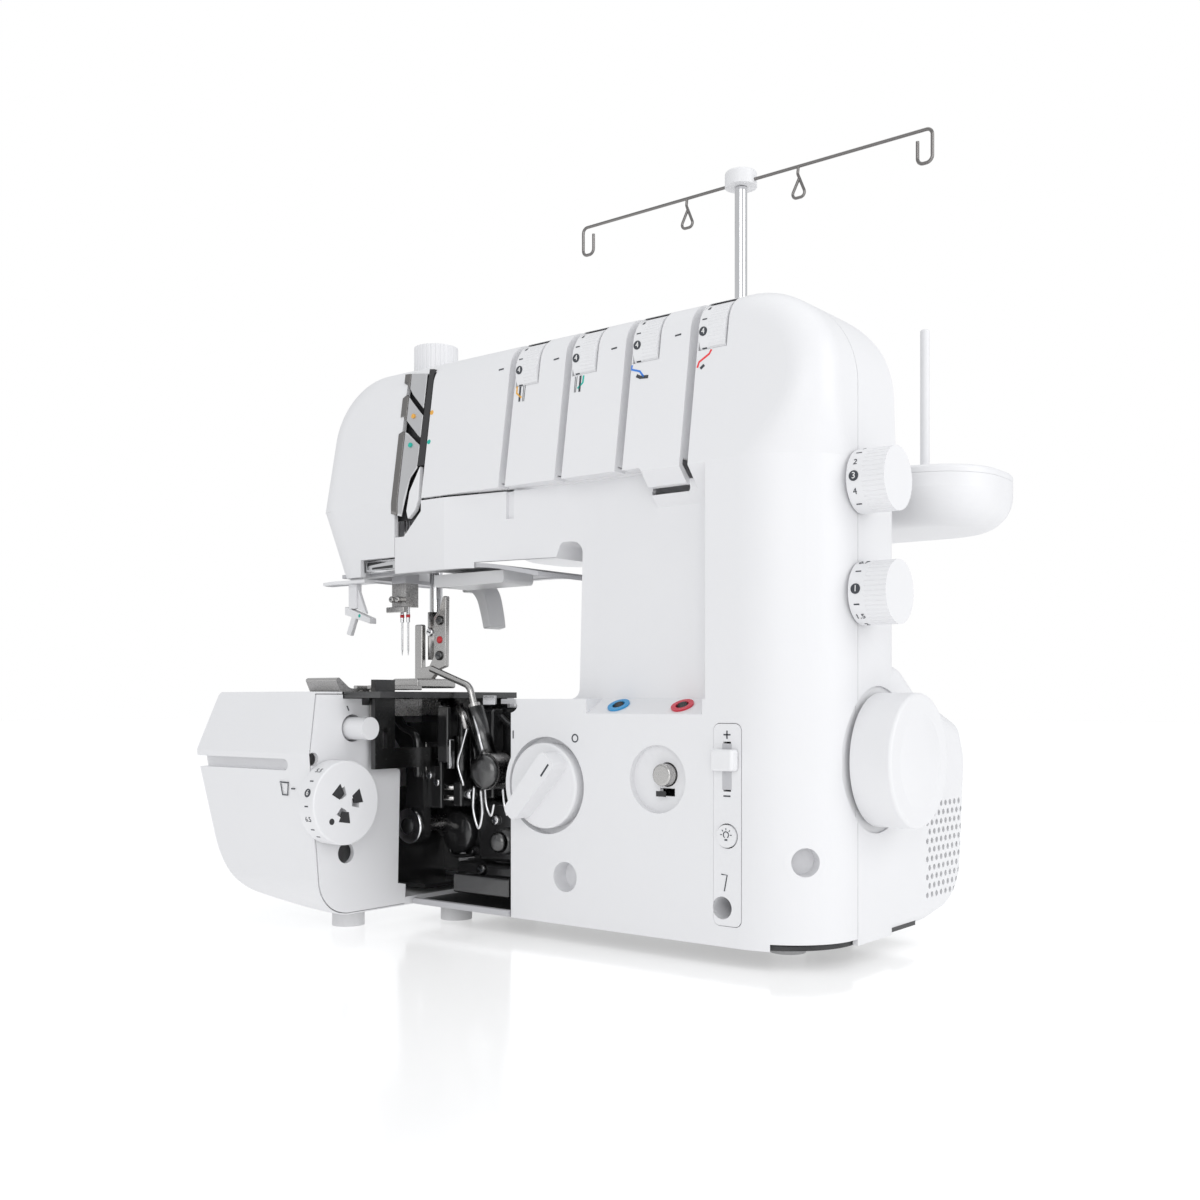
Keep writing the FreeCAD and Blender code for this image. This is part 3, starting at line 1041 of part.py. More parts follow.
# ---- head details ----
def make_head_parts():
    """The underside panel, lamp cover, chrome thread covers and the small guide below them."""
    floor = front_prism([
        (HEAD_LEFT + 19.5, HEAD_BOTTOM + 0.6, 0), (-22, HEAD_BOTTOM + 1, 150), (HEAD_TIP_X - 1, HEAD_TIP_Z + 1.4, 0),
        (HEAD_TIP_X - 1, HEAD_TIP_Z + 3.4, 0), (-22, HEAD_BOTTOM + 3, 150), (HEAD_LEFT + 19.5, HEAD_BOTTOM + 2.6, 0),
    ], WALL + 1.2, BODY_BACK - WALL - 6.5)
    floor = floor.cut(block(-118, PRESSER_X + 32, 14, 68, 160, 190)).cut(block(-107, -80, 0, 8, 170, 190))
    save("head_underside", floor)
    lamp = front_prism([(-60, 169.5, 2), (-12, 169.5, 2), (-12, 176.2, 0), (-60, 176.2, 0)], 8, 30)
    lamp = lamp.cut(front_prism([(-58, 171.5, 1), (-14, 171.5, 1), (-14, 178, 0), (-58, 178, 0)], 10, 28))
    save("lamp_cover", lamp.cut(block(-70, -5, 0, 40, HEAD_BOTTOM - 1.2, 190)))
    sheet = casing(1.0).cut(casing(3.0))
    strip = block(FACE_COVER_RIGHT + 1.2, CHANNEL_RIGHT - 5.5, -5, 18, CHANNEL_BOTTOM + 11, BODY_TOP - 8)
    covers = sheet.common(strip)
    for z in (BODY_TOP - 42, BODY_TOP - 24):
        covers = covers.cut(block(FACE_COVER_RIGHT - 2, CHANNEL_RIGHT, -5, 30, z - 1.5, z + 1.5))
    save("thread_channel_cover", covers)
    guide = front_prism([
        (-105.5, HEAD_BOTTOM + 2, 1), (-82.5, HEAD_BOTTOM + 2, 1), (-82.5, HEAD_BOTTOM + 8, 1),
        (-105.5, HEAD_BOTTOM + 6, 1),
    ], 3.5, 6.5)
    guide = guide.cut(front_prism([(-102, 181, 0), (-86, 181, 0), (-86, 182.6, 0), (-102, 182, 0)], 0, 12))
    save("thread_guide_plate", guide)


def make_dials():
    """Four tension dials, each a numbered ring and a knurled ring on its own spindle."""
    spindles = []
    for number in range(THREAD_COUNT):
        x0 = dial_left(number)
        x1 = x0 + DIAL_WIDTH
        smooth = rod((x0, DIAL_Y, DIAL_Z), (x0 + 4.6, DIAL_Y, DIAL_Z), DIAL_RADIUS)
        rough = knurled((x0 + 4.6, DIAL_Y, DIAL_Z), (x1, DIAL_Y, DIAL_Z), DIAL_RADIUS, 60, 0.35)
        dial = joined(smooth, rough).cut(rod((x0 - 1, DIAL_Y, DIAL_Z), (x1 + 1, DIAL_Y, DIAL_Z),
                                             SPINDLE_RADIUS + RUNNING_FIT))
        save("tension_dial_" + str(number + 1), dial)
        spindle = rod((x0 - 3, DIAL_Y, DIAL_Z), (x1 + 4, DIAL_Y, DIAL_Z), SPINDLE_RADIUS)
        arm = block(x1 + 2, x1 + 5, DIAL_Y - 4, 46, BEAM_Z + 8, DIAL_Z + 3)
        spindles.append(joined(spindle, arm))
    save("tension_spindles", *spindles)


def make_front_controls():
    """The knob, buttons, slider and control strip on the front, and the two thread ports."""
    shaft = rod((KNOB_X, -4, KNOB_Z), (KNOB_X, 26, KNOB_Z), KNOB_SHAFT_RADIUS)
    disc = rod((KNOB_X, -KNOB_DEPTH + 3.5, KNOB_Z), (KNOB_X, DISH_DEPTH - 0.6, KNOB_Z), KNOB_RADIUS)
    disc = rounded(disc, lambda box, edge: 1.2 if box.YMax < 0 else None)
    lean = math.radians(48)
    along = V(math.cos(lean), 0, math.sin(lean))
    side = V(-math.sin(lean), 0, math.cos(lean))
    centre = V(KNOB_X, 0, KNOB_Z)
    corners = [centre + along * a + side * b for a, b in ((-18.5, -4.2), (18.5, -5.2), (18.5, 5.2), (-18.5, 4.2))]
    grip = front_prism([(p.x, p.z, 3) for p in corners], -KNOB_DEPTH - 7, 0)
    save("threader_knob", joined(disc, grip, shaft))
    button = rod((BUTTON_X, -1.5, BUTTON_Z), (BUTTON_X, 12, BUTTON_Z), BUTTON_RADIUS)
    save("threader_button", rounded(button, lambda box, edge: 1.0 if box.YMax < -1.4 else None))
    middle = (STRIP_LEFT + STRIP_RIGHT) / 2
    strip = front_prism([
        (STRIP_LEFT, STRIP_BOTTOM, 3), (STRIP_RIGHT, STRIP_BOTTOM, 3), (STRIP_RIGHT, STRIP_TOP, 3),
        (STRIP_LEFT, STRIP_TOP, 3),
    ], -0.3, STRIP_THICK)
    strip = strip.cut(block(middle - SLIDER_SLOT / 2 - 0.4, middle + SLIDER_SLOT / 2 + 0.4, -5, 5,
                            SLIDER_BOTTOM - 0.5, SLIDER_TOP + 0.5))
    strip = strip.cut(rod((middle, -5, LIGHT_Z), (middle, 5, LIGHT_Z), LIGHT_RADIUS + PART_GAP))
    strip = strip.cut(rod((STRIP_LEFT + 4.2, -5, KEY_HOLE_Z), (STRIP_LEFT + 4.2, 5, KEY_HOLE_Z), KEY_HOLE_RADIUS))
    save("control_strip", strip)
    stem = block(middle - SLIDER_SLOT / 2, middle + SLIDER_SLOT / 2, -3, 8, SLIDER_Z - 2.5, SLIDER_Z + 2.5)
    cap = block(middle - 5.5, middle + 5.5, -5.5, -0.8, SLIDER_Z - 4.5, SLIDER_Z + 4.5)
    cap = rounded(cap, lambda box, edge: 1.2 if box.YMin < -5.4 else None)
    save("speed_slider", joined(stem, cap))
    light = rod((middle, -1.2, LIGHT_Z), (middle, STRIP_THICK - 0.2, LIGHT_Z), LIGHT_RADIUS)
    stalk = rod((middle, 0, LIGHT_Z), (middle, 9, LIGHT_Z), 2.2)
    save("light_button", joined(light, stalk))
    for name, x in (("blue_port_ring", 60.0), ("red_port_ring", 95.0)):
        middle, slope = ledge_middle(x)
        seat = middle + slope * 0.05
        ring = Part.makeCylinder(5.2, 0.8, seat, slope)
        neck = Part.makeCylinder(4.1, 4.0, seat - slope * 3.5, slope)
        bore = Part.makeCylinder(3.0, 12.0, seat - slope * 6, slope)
        save(name, joined(ring, neck).cut(bore))


def make_side_controls():
    """The stitch length and differential feed knobs on the right side."""
    for name, y, z in (("stitch_length_knob", STITCH_KNOB_Y, STITCH_KNOB_Z),
                       ("differential_knob", FEED_KNOB_Y, FEED_KNOB_Z)):
        x0 = BODY_RIGHT + 1
        x1 = x0 + SIDE_KNOB_LENGTH
        plain = rod((x0, y, z), (x0 + 7, y, z), SIDE_KNOB_RADIUS)
        grip = knurled((x0 + 6.5, y, z), (x1, y, z), SIDE_KNOB_RADIUS, 40, 0.45)
        shaft = rod((BODY_RIGHT - 24, y, z), (x0 + 1, y, z), KNOB_SHAFT_RADIUS)
        save(name, joined(plain, grip, shaft))
    brackets = []
    for y, z in ((STITCH_KNOB_Y, STITCH_KNOB_Z), (FEED_KNOB_Y, FEED_KNOB_Z)):
        bracket = block(FRAME_RIGHT + 1, BODY_RIGHT - 18, y + 6, y + 10, z - 8, z + 8)
        boss = rod((BODY_RIGHT - 24, y, z), (BODY_RIGHT - 14, y, z), KNOB_SHAFT_RADIUS + 4)
        web = block(BODY_RIGHT - 23, BODY_RIGHT - 18, y, y + 9, z - 6, z + 6)
        bore = rod((BODY_RIGHT - 34, y, z), (BODY_RIGHT - 4, y, z), KNOB_SHAFT_RADIUS + RUNNING_FIT)
        brackets.append(joined(bracket, boss, web).cut(bore))
    save("knob_brackets", *brackets)


# ---- spool stand ----
def stand_positions():
    """The four thread places, evenly spaced on both sides of the mast."""
    return [MAST_X + SPOOL_PITCH * step for step in (-1.5, -0.5, 0.5, 1.5)]


def make_stand():
    """The boat-shaped shelf, its tray, the spool pins and the telescopic mast."""
    plan = [
        (SHELF_LEFT, SHELF_FRONT, 34), (SHELF_RIGHT, SHELF_FRONT, 34), (SHELF_RIGHT, SHELF_BACK, 40),
        (SHELF_LEFT, SHELF_BACK, 40),
    ]
    hull = plan_prism(plan, SHELF_BOTTOM, SHELF_SEAM_Z)
    hull = rounded(hull, lambda box, edge: 17.0 if box.ZMax < SHELF_BOTTOM + 0.5 else None)
    hollow = plan_prism(plan, SHELF_BOTTOM + WALL, SHELF_SEAM_Z, -WALL)
    hollow = rounded(hollow, lambda box, edge: 15.0 if box.ZMax < SHELF_BOTTOM + WALL + 0.5 else None)
    hull = hull.cut(hollow)
    neck = block(MAST_X - 39.5, MAST_X + 39.5, 70, SHELF_FRONT + 6, 204.5, 215.5)
    hull = hull.fuse(neck.cut(plan_prism(plan, 190, 230, -WALL / 2)))
    socket = rod((MAST_X, STAND_Y, SHELF_BOTTOM), (MAST_X, STAND_Y, SHELF_SEAM_Z), MAST_TUBE_RADIUS + 3)
    hull = hull.fuse(socket).removeSplitter()
    hull = hull.cut(rod((MAST_X, STAND_Y, SHELF_BOTTOM + 3), (MAST_X, STAND_Y, 230), MAST_TUBE_RADIUS))
    save("spool_shelf", hull)
    tray = plan_prism(plan, SHELF_SEAM_Z + 0.1, SHELF_TOP)
    tray = rounded(tray, lambda box, edge: 2.0 if box.ZMin > SHELF_TOP - 0.5 else None)
    tray = tray.cut(rod((MAST_X, STAND_Y, 200), (MAST_X, STAND_Y, 230), MAST_TUBE_RADIUS))
    pins = []
    for x in stand_positions():
        ring = tube((x, STAND_Y, SHELF_TOP - 1), (x, STAND_Y, SHELF_TOP + 1), 17, 15)
        tray = tray.fuse(ring)
        tray = tray.cut(rod((x, STAND_Y, 200), (x, STAND_Y, 230), SPOOL_PIN_RADIUS))
        pin = rod((x, STAND_Y, SHELF_SEAM_Z + 0.2), (x, STAND_Y, SPOOL_PIN_TOP), SPOOL_PIN_RADIUS)
        pins.append(rounded(pin, lambda box, edge: 1.2 if box.ZMin > SPOOL_PIN_TOP - 0.5 else None))
    save("spool_shelf_tray", tray)
    save("spool_pins", *pins)
    bottom = SHELF_BOTTOM + 3
    sleeve = tube((MAST_X, STAND_Y, bottom), (MAST_X, STAND_Y, MAST_TUBE_TOP), MAST_TUBE_RADIUS,
                  MAST_RADIUS + RUNNING_FIT)
    save("mast_outer_tube", sleeve)
    inner_low = MAST_TUBE_TOP - MAST_OVERLAP
    inner = rod((MAST_X, STAND_Y, inner_low), (MAST_X, STAND_Y, GUIDE_BAR_Z - 3), MAST_RADIUS)
    save("mast_inner_tube", inner)
    cap = rod((MAST_X, STAND_Y, GUIDE_BAR_Z - 2.5), (MAST_X, STAND_Y, GUIDE_BAR_Z + 6), 9)
    cap = rounded(cap, lambda box, edge: 1.5 if box.ZMin > GUIDE_BAR_Z + 5 else None)
    z = GUIDE_BAR_Z
    drop = z - GUIDE_DROP
    left, left_inner, right_inner, right = stand_positions()
    bar = bent_wire([(x, STAND_Y, height) for x, height in (
        (left + 4, z - 5), (left + 4, drop), (left - 4, drop), (left - 4, z),
        (right + 4, z), (right + 4, drop), (right - 4, drop), (right - 4, z - 5),
    )], GUIDE_WIRE, 3.2)
    for x in (left_inner, right_inner):
        drop_loop = [(x, STAND_Y, z), (x - 0.4, STAND_Y, z - 4), (x + 5, STAND_Y, drop), (x - 5, STAND_Y, drop),
                     (x + 0.8, STAND_Y, z - 6)]
        bar = bar.fuse(bent_wire(drop_loop, GUIDE_WIRE - 0.1, 2.4))
    save("thread_guide_bar", bar)
    save("mast_cap", cap.cut(rod((MAST_X - 20, STAND_Y, z), (MAST_X + 20, STAND_Y, z), GUIDE_WIRE)))


def make_inlet():
    """The flush power inlet in the back of the motor compartment."""
    x0 = BULGE_LEFT + 4
    x1 = BULGE_LEFT + 31
    shell = block(x0, x1, 132, 152, 24, 46)
    shell = shell.cut(block(x0 + 3, x1 - 3, 138, 160, 27, 43))
    pins = [block(x - 1, x + 1, 137, 149, 32, 38) for x in (x0 + 8, (x0 + x1) / 2, x1 - 8)]
    save("power_inlet", joined(shell, *pins))


for maker in (make_base, make_housing, make_side_plate, make_housing_dials, make_frame, make_shaft, make_drive,
              make_needles, make_presser, make_plate_and_feed, make_loopers, make_head_parts, make_dials,
              make_front_controls, make_side_controls, make_stand, make_inlet):
    maker()
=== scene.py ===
import math

import bmesh
import bpy
import numpy as np
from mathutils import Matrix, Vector


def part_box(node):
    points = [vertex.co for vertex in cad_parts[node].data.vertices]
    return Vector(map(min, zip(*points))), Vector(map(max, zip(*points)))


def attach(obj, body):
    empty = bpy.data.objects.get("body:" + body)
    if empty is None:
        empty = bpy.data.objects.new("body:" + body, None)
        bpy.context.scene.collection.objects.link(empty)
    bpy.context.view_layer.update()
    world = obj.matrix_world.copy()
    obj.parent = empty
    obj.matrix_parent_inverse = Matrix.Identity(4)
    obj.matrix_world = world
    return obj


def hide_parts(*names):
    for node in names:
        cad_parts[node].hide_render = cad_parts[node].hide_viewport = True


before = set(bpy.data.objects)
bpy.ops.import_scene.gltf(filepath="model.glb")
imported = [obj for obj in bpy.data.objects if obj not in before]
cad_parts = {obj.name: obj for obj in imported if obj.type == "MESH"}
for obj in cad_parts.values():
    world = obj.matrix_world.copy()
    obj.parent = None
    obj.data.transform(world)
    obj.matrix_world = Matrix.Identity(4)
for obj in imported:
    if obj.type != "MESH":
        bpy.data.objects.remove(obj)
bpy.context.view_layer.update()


# ---- Camera ----
# A level view from the machine's right front corner, at the height of the needle plate.
# The picture is shifted upwards, so that upright edges stay upright.
camera_data = bpy.data.cameras.new("camera")
camera_data.sensor_width = 36.0
camera_data.lens = 38.61
camera_data.shift_y = 0.0833
camera_data.clip_start = 0.01
camera = bpy.data.objects.new("camera", camera_data)
camera.location = (0.3992, -0.52055, 0.112)
camera.rotation_euler = (math.radians(90), 0, math.radians(38.1))
bpy.context.scene.collection.objects.link(camera)
bpy.context.scene.camera = camera


# ---- Finishes ----
# Moulded plastic, cast iron, plated and turned metal, and rubber, each as a node material.
# A fine noise over the object's own coordinates drives the roughness, the bump and a faint tint.
broad_cells = 28.0
relief_depth = 0.0004
coat_rough = 0.15


def finish(name, colour, rough, metallic=0.0, grain=900.0, bump=0.04, spread=0.06, tint=0.03, coat=0.0,
           clear=0.0):
    """A principled surface: base colour times (1 +- tint * noise), roughness = rough +- spread * noise,
    and height = noise at grain cells per metre."""
    material = bpy.data.materials.new(name)
    material.use_nodes = True
    nodes = material.node_tree.nodes
    links = material.node_tree.links
    shader = nodes["Principled BSDF"]
    place = nodes.new("ShaderNodeTexCoord")
    fine = nodes.new("ShaderNodeTexNoise")
    fine.inputs["Scale"].default_value = grain
    fine.inputs["Detail"].default_value = 3.0
    links.new(place.outputs["Object"], fine.inputs["Vector"])
    broad = nodes.new("ShaderNodeTexNoise")
    broad.inputs["Scale"].default_value = broad_cells
    broad.inputs["Detail"].default_value = 2.0
    links.new(place.outputs["Object"], broad.inputs["Vector"])
    sheen = nodes.new("ShaderNodeMapRange")
    sheen.inputs["To Min"].default_value = rough - spread
    sheen.inputs["To Max"].default_value = rough + spread
    links.new(fine.outputs["Fac"], sheen.inputs["Value"])
    links.new(sheen.outputs["Result"], shader.inputs["Roughness"])
    colours = nodes.new("ShaderNodeMix")
    colours.data_type = "RGBA"
    colours.inputs["A"].default_value = (*[c * (1 - tint) for c in colour], 1)
    colours.inputs["B"].default_value = (*[min(1, c * (1 + tint)) for c in colour], 1)
    links.new(broad.outputs["Fac"], colours.inputs["Factor"])
    links.new(colours.outputs["Result"], shader.inputs["Base Color"])
    height = nodes.new("ShaderNodeBump")
    height.inputs["Strength"].default_value = bump
    height.inputs["Distance"].default_value = relief_depth
    links.new(fine.outputs["Fac"], height.inputs["Height"])
    links.new(height.outputs["Normal"], shader.inputs["Normal"])
    shader.inputs["Metallic"].default_value = metallic
    shader.inputs["Coat Weight"].default_value = coat
    shader.inputs["Coat Roughness"].default_value = coat_rough
    shader.inputs["Transmission Weight"].default_value = clear
    return material


white_plastic = finish("white_plastic", (0.80, 0.80, 0.815), 0.40, tint=0.012)
grey_plastic = finish("grey_plastic", (0.52, 0.52, 0.54), 0.45)
# Also used for the dark sheets and discs that are painted shade in slots, holes, mouths and grooves.
dark_plastic = finish("dark_plastic", (0.03, 0.03, 0.032), 0.4)
lamp_plastic = finish("lamp_plastic", (0.74, 0.74, 0.75), 0.35, clear=0.15)
foot_rubber = finish("foot_rubber", (0.68, 0.68, 0.69), 0.6, grain=1500, bump=0.2)
cast_iron = finish("cast_iron", (0.022, 0.022, 0.023), 0.24, grain=400, bump=0.2, coat=1.0)
brass = finish("brass", (0.6, 0.45, 0.2), 0.3, metallic=1.0)
chrome = finish("chrome", (0.75, 0.75, 0.76), 0.14, metallic=1.0, spread=0.05, bump=0.03)
steel = finish("steel", (0.52, 0.51, 0.50), 0.26, metallic=1.0, spread=0.08, bump=0.08)
dark_steel = finish("dark_steel", (0.13, 0.13, 0.13), 0.25, metallic=1.0)
# Chrome painted dark: painted shade and dark reflection, on the thread guide bar and the thread covers' left
# strips.
painted_shade_chrome = finish("painted_shade_chrome", (0.24, 0.23, 0.225), 0.22, metallic=1.0, spread=0.05, bump=0.03)
# Chrome painted pale: a painted highlight on the sloping part of each thread cover.
painted_highlight_chrome = finish("painted_highlight_chrome", (0.58, 0.58, 0.59), 0.3, metallic=0.6, spread=0.05, bump=0.03)
motor_steel = finish("motor_steel", (0.3, 0.3, 0.31), 0.45, metallic=1.0)
belt_rubber = finish("belt_rubber", (0.02, 0.02, 0.02), 0.85, grain=1500, bump=0.2)
blue_plastic = finish("blue_plastic", (0.03, 0.30, 0.62), 0.35)
red_plastic = finish("red_plastic", (0.60, 0.03, 0.06), 0.35)
by_slot = {
    "white_plastic": white_plastic, "grey_plastic": grey_plastic, "dark_plastic": dark_plastic,
    "lamp_plastic": lamp_plastic, "foot_rubber": foot_rubber, "cast_frame": cast_iron,
    "bearing_brass": brass, "chrome": chrome, "steel": steel, "dark_steel": dark_steel,
    "motor_steel": motor_steel, "belt_rubber": belt_rubber, "blue_plastic": blue_plastic,
    "red_plastic": red_plastic,
}
for name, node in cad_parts.items():
    for holder in node.material_slots:
        key = holder.material.name.split(".")[0] if holder.material else ""
        if key in by_slot:
            holder.material = by_slot[key]
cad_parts["upper_looper"].material_slots[0].material = steel
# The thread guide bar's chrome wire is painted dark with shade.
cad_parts["thread_guide_bar"].material_slots[0].material = painted_shade_chrome
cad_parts["lower_looper"].material_slots[0].material = cast_iron


# ---- Printed marks on the casing ----
# Thin lines of ink pad-printed on the moulded covers, each raised by less than a tenth of a millimetre.
# Lengths are millimetres from the front panel's lower left corner: x to the right, y backwards, z upwards.
panel_width = 0.164
strip_proud = 0.0003
base_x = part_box("front_cover")[1][0] - panel_width
base_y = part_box("control_strip")[0][1] + strip_proud
dark_ink = finish("dark_ink", (0.05, 0.055, 0.065), 0.5)
orange_ink = finish("orange_ink", (0.80, 0.42, 0.08), 0.5)
teal_ink = finish("teal_ink", (0.01, 0.46, 0.37), 0.5)
blue_ink = finish("blue_ink", (0.05, 0.22, 0.70), 0.5)
red_ink = finish("red_ink", (0.80, 0.05, 0.06), 0.5)
white_ink = finish("white_ink", (0.85, 0.85, 0.85), 0.5)


def piece(name, points, faces, material, body, smooth=True):
    """One mesh from points in millimetres and lists of corner numbers, faces turned outwards."""
    mesh = bpy.data.meshes.new(name)
    mesh.from_pydata((np.asarray(points) * 0.001 + (base_x, base_y, 0)).tolist(), [], faces)
    shape = bmesh.new()
    shape.from_mesh(mesh)
    bmesh.ops.recalc_face_normals(shape, faces=shape.faces)
    shape.to_mesh(mesh)
    shape.free()
    mesh.polygons.foreach_set("use_smooth", np.full(len(mesh.polygons), smooth))
    mesh.materials.append(material)
    thing = bpy.data.objects.new(name, mesh)
    bpy.context.scene.collection.objects.link(thing)
    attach(thing, body)
    return thing


def skin(name, rings, material, body, smooth=True, round_off=0.0):
    """A closed surface through rings of equal length: quads between rings, one face over each end.
    A round_off above zero adds a bevel of that many millimetres."""
    rings = np.asarray(rings, float)
    count, around = rings.shape[:2]
    index = np.arange(count * around).reshape(count, around)
    after = np.roll(index, -1, axis=1)
    quads = np.stack([index[:-1], after[:-1], after[1:], index[1:]], axis=-1).reshape(-1, 4)
    faces = quads.tolist() + [index[0].tolist(), index[-1].tolist()]
    thing = piece(name, rings.reshape(-1, 3), faces, material, body, smooth)
    if round_off:
        bevel = thing.modifiers.new("round_off", "BEVEL")
        bevel.width = round_off * 0.001
        bevel.segments = 3
        bevel.harden_normals = True
    return thing


def stroke(name, path, width, material, body, facing=(0, -1, 0), thick=0.16):
    """A flat line along the path: at each point, a rectangle width across and thick along facing."""
    path = np.asarray(path, float)
    along = np.gradient(path, axis=0)
    along /= np.linalg.norm(along, axis=1, keepdims=True)
    out = np.asarray(facing, float) / np.linalg.norm(facing)
    side = np.cross(along, out)
    side /= np.linalg.norm(side, axis=1, keepdims=True)
    corners = [(1, 1), (-1, 1), (-1, -1), (1, -1)]
    rings = np.stack([path + side * a * width / 2 + out * b * thick / 2 for a, b in corners], axis=1)
    return skin(name, rings, material, body, smooth=False)


def arc(centre, radius, start, stop, right=(1, 0, 0), up=(0, 0, 1), steps=25):
    """Points centre + radius * (cos a * right + sin a * up) for angles in degrees from start to stop."""
    angle = np.radians(np.linspace(start, stop, steps))[:, None]
    return np.asarray(centre) + radius * (np.cos(angle) * np.asarray(right) + np.sin(angle) * np.asarray(up))


def lettering(name, text, height, place, right, up, material, body):
    """Raised figures of the given height, centred on place, reading along right with their tops to up."""
    words = bpy.data.curves.new(name, "FONT")
    words.body = text
    words.align_x = "CENTER"
    words.align_y = "CENTER"
    words.size = height * 1.35
    words.extrude = 0.08
    words.resolution_u = 3
    holder = bpy.data.objects.new(name + "_words", words)
    bpy.context.scene.collection.objects.link(holder)
    flat = bpy.data.meshes.new_from_object(holder.evaluated_get(bpy.context.evaluated_depsgraph_get()))
    bpy.data.objects.remove(holder)
    flat_points = np.empty(len(flat.vertices) * 3)
    flat.vertices.foreach_get("co", flat_points)
    flat_points = flat_points.reshape(-1, 3)
    right = np.asarray(right, float) / np.linalg.norm(right)
    up = np.asarray(up, float) / np.linalg.norm(up)
    axes = np.stack([right, up, np.cross(right, up)])
    faces = [list(face.vertices) for face in flat.polygons]
    return piece(name, flat_points @ axes + place, faces, material, body, smooth=False)


lean_start = 214
lean_back = 11
lean_height = 74
leaning = (0, -1, lean_back / lean_height)


def lean(z):
    """How far back the head's front is at a height: the height above its start times its slope."""
    return np.clip(z - lean_start, 0, None) * lean_back / lean_height


def on_head(points, proud=0.05):
    """Points (x, z) set on the head's front, each the given distance proud of it."""
    x, z = np.asarray(points, float).T
    return np.stack([x, lean(z) - proud, z], axis=1)


for number, (x, z) in enumerate([(-14.4, 274.3), (21.0, 273.6), (55.6, 272.8), (91.1, 272.7)], 1):
    stroke(f"dial_mark_{number}", on_head([(x - 1.6, z - 0.1), (x + 1.6, z + 0.1)]), 0.7, dark_ink, "housing",
           leaning)
guides = [
    ("needle_left", orange_ink, [(-2.5, 263.8), (-2.4, 260.4), (0.9, 257.8)], 0.9),
    ("needle_left_dark", dark_ink, [(-0.4, 263.5), (-0.2, 256.0)], 1.1),
    ("needle_left_pale", dark_ink, [(1.8, 263.5), (1.9, 255.8)], 0.3),
    ("needle_left_edge", dark_ink, [(2.8, 263.5), (2.7, 255.8)], 0.3),
    ("needle_right_pale", dark_ink, [(34.0, 262.9), (34.2, 255.3)], 0.3),
    ("needle_right_edge", dark_ink, [(35.0, 262.9), (34.9, 255.3)], 0.3),
    ("needle_right_dark", dark_ink, [(37.1, 262.9), (37.2, 255.2)], 1.1),
    ("needle_right", teal_ink, [(38.9, 262.7), (38.8, 259.3), (35.9, 257.0)], 0.9),
    ("looper_up_tick", blue_ink, [(67.0, 262.9), (66.9, 260.9), (71.6, 259.4), (74.2, 256.4)], 0.9),
    ("looper_up_body", dark_ink, [(70.0, 257.6), (72.2, 256.5), (76.6, 256.2)], 1.5),
    ("looper_low", red_ink, [(109.5, 263.0), (108.6, 261.2), (103.6, 258.3), (102.9, 255.9)], 0.9),
    ("looper_low_body", dark_ink, [(106.4, 256.6), (104.6, 255.2)], 1.3),
]
for name, ink, points, width in guides:
    stroke(name, on_head(points), width, ink, "housing", leaning)
stroke("knob_shut_mark", [(1.5, -0.05, 93.6), (1.5, -0.05, 97.4)], 0.7, dark_ink, "housing")
stroke("knob_open_mark", arc((39.6, -0.05, 94.4), 1.7, 0, 360), 0.6, dark_ink, "housing")
stroke("faster_bar", [(120.5, -0.35, 97.4), (123.9, -0.35, 97.4)], 0.6, dark_ink, "housing")
stroke("faster_stem", [(122.2, -0.35, 95.7), (122.2, -0.35, 99.1)], 0.6, dark_ink, "housing")
stroke("slower_bar", [(120.5, -0.35, 71.6), (123.9, -0.35, 71.6)], 0.6, dark_ink, "housing")
stroke("slider_track", [(122.2, -0.32, 74.3), (122.2, -0.32, 93.7)], 4.6, grey_plastic, "housing")
stroke("tool_sign", [(119.4, -0.35, 38.6), (122.3, -0.35, 38.4), (120.9, -0.35, 31.6)], 0.5, dark_ink,
       "housing")
lamp_middle = np.array((122.25, -1.25, 55.4))
stroke("lamp_sign", arc(lamp_middle, 1.3, -60, 240), 0.4, dark_ink, "light")
stroke("lamp_sign_cap", [(121.6, -1.25, 53.3), (122.9, -1.25, 53.3)], 0.7, dark_ink, "light")
for number, angle in enumerate((0, 45, 90, 135, 180), 1):
    ray = arc(lamp_middle, 1.0, angle, angle, steps=1) - lamp_middle
    stroke(f"lamp_ray_{number}", lamp_middle + ray * [[2.0], [2.8]], 0.35, dark_ink, "light")
# A dark bar in the lock's slot: painted shade.
stroke("lock_slot", [(85.4, -0.05, 71.0), (90.6, -0.05, 71.0)], 2.4, dark_plastic, "housing")
corner_out = (0.93, -0.37, 0)
clear_of_corner = np.array(corner_out) * 0.08
side_marks = [
    ("length_wide", [(160.6, 20.6, 217.7), (161.5, 22.8, 215.9), (160.6, 20.6, 213.9), (161.5, 22.8, 211.9)],
     0.6),
    ("length_tick", [(161.5, 22.8, 207.3), (162.4, 24.9, 207.3)], 0.6),
    ("length_short", [(160.6 + 0.9 * (k % 2), 20.6 + 2.2 * (k % 2), 203.9 - 0.86 * k) for k in range(9)],
     0.5),
    ("feed_sign_left", [(160.8, 21.1, 171.4), (160.8, 21.1, 164.4)], 0.4),
    ("feed_sign_right", [(161.7, 23.3, 171.4), (161.7, 23.3, 164.4)], 0.4),
    ("feed_tick", [(161.5, 22.8, 159.4), (162.4, 24.9, 159.4)], 0.6),
    ("feed_gather_left", [(160.7, 20.8, 155.2), (161.1, 21.9, 152.0), (160.7, 20.8, 148.8)], 0.5),
    ("feed_gather_right", [(162.0, 24.0, 155.2), (161.6, 23.0, 152.0), (162.0, 24.0, 148.8)], 0.5),
]
for name, points, width in side_marks:
    stroke(name, np.array(points) + clear_of_corner, width, dark_ink, "housing", corner_out)
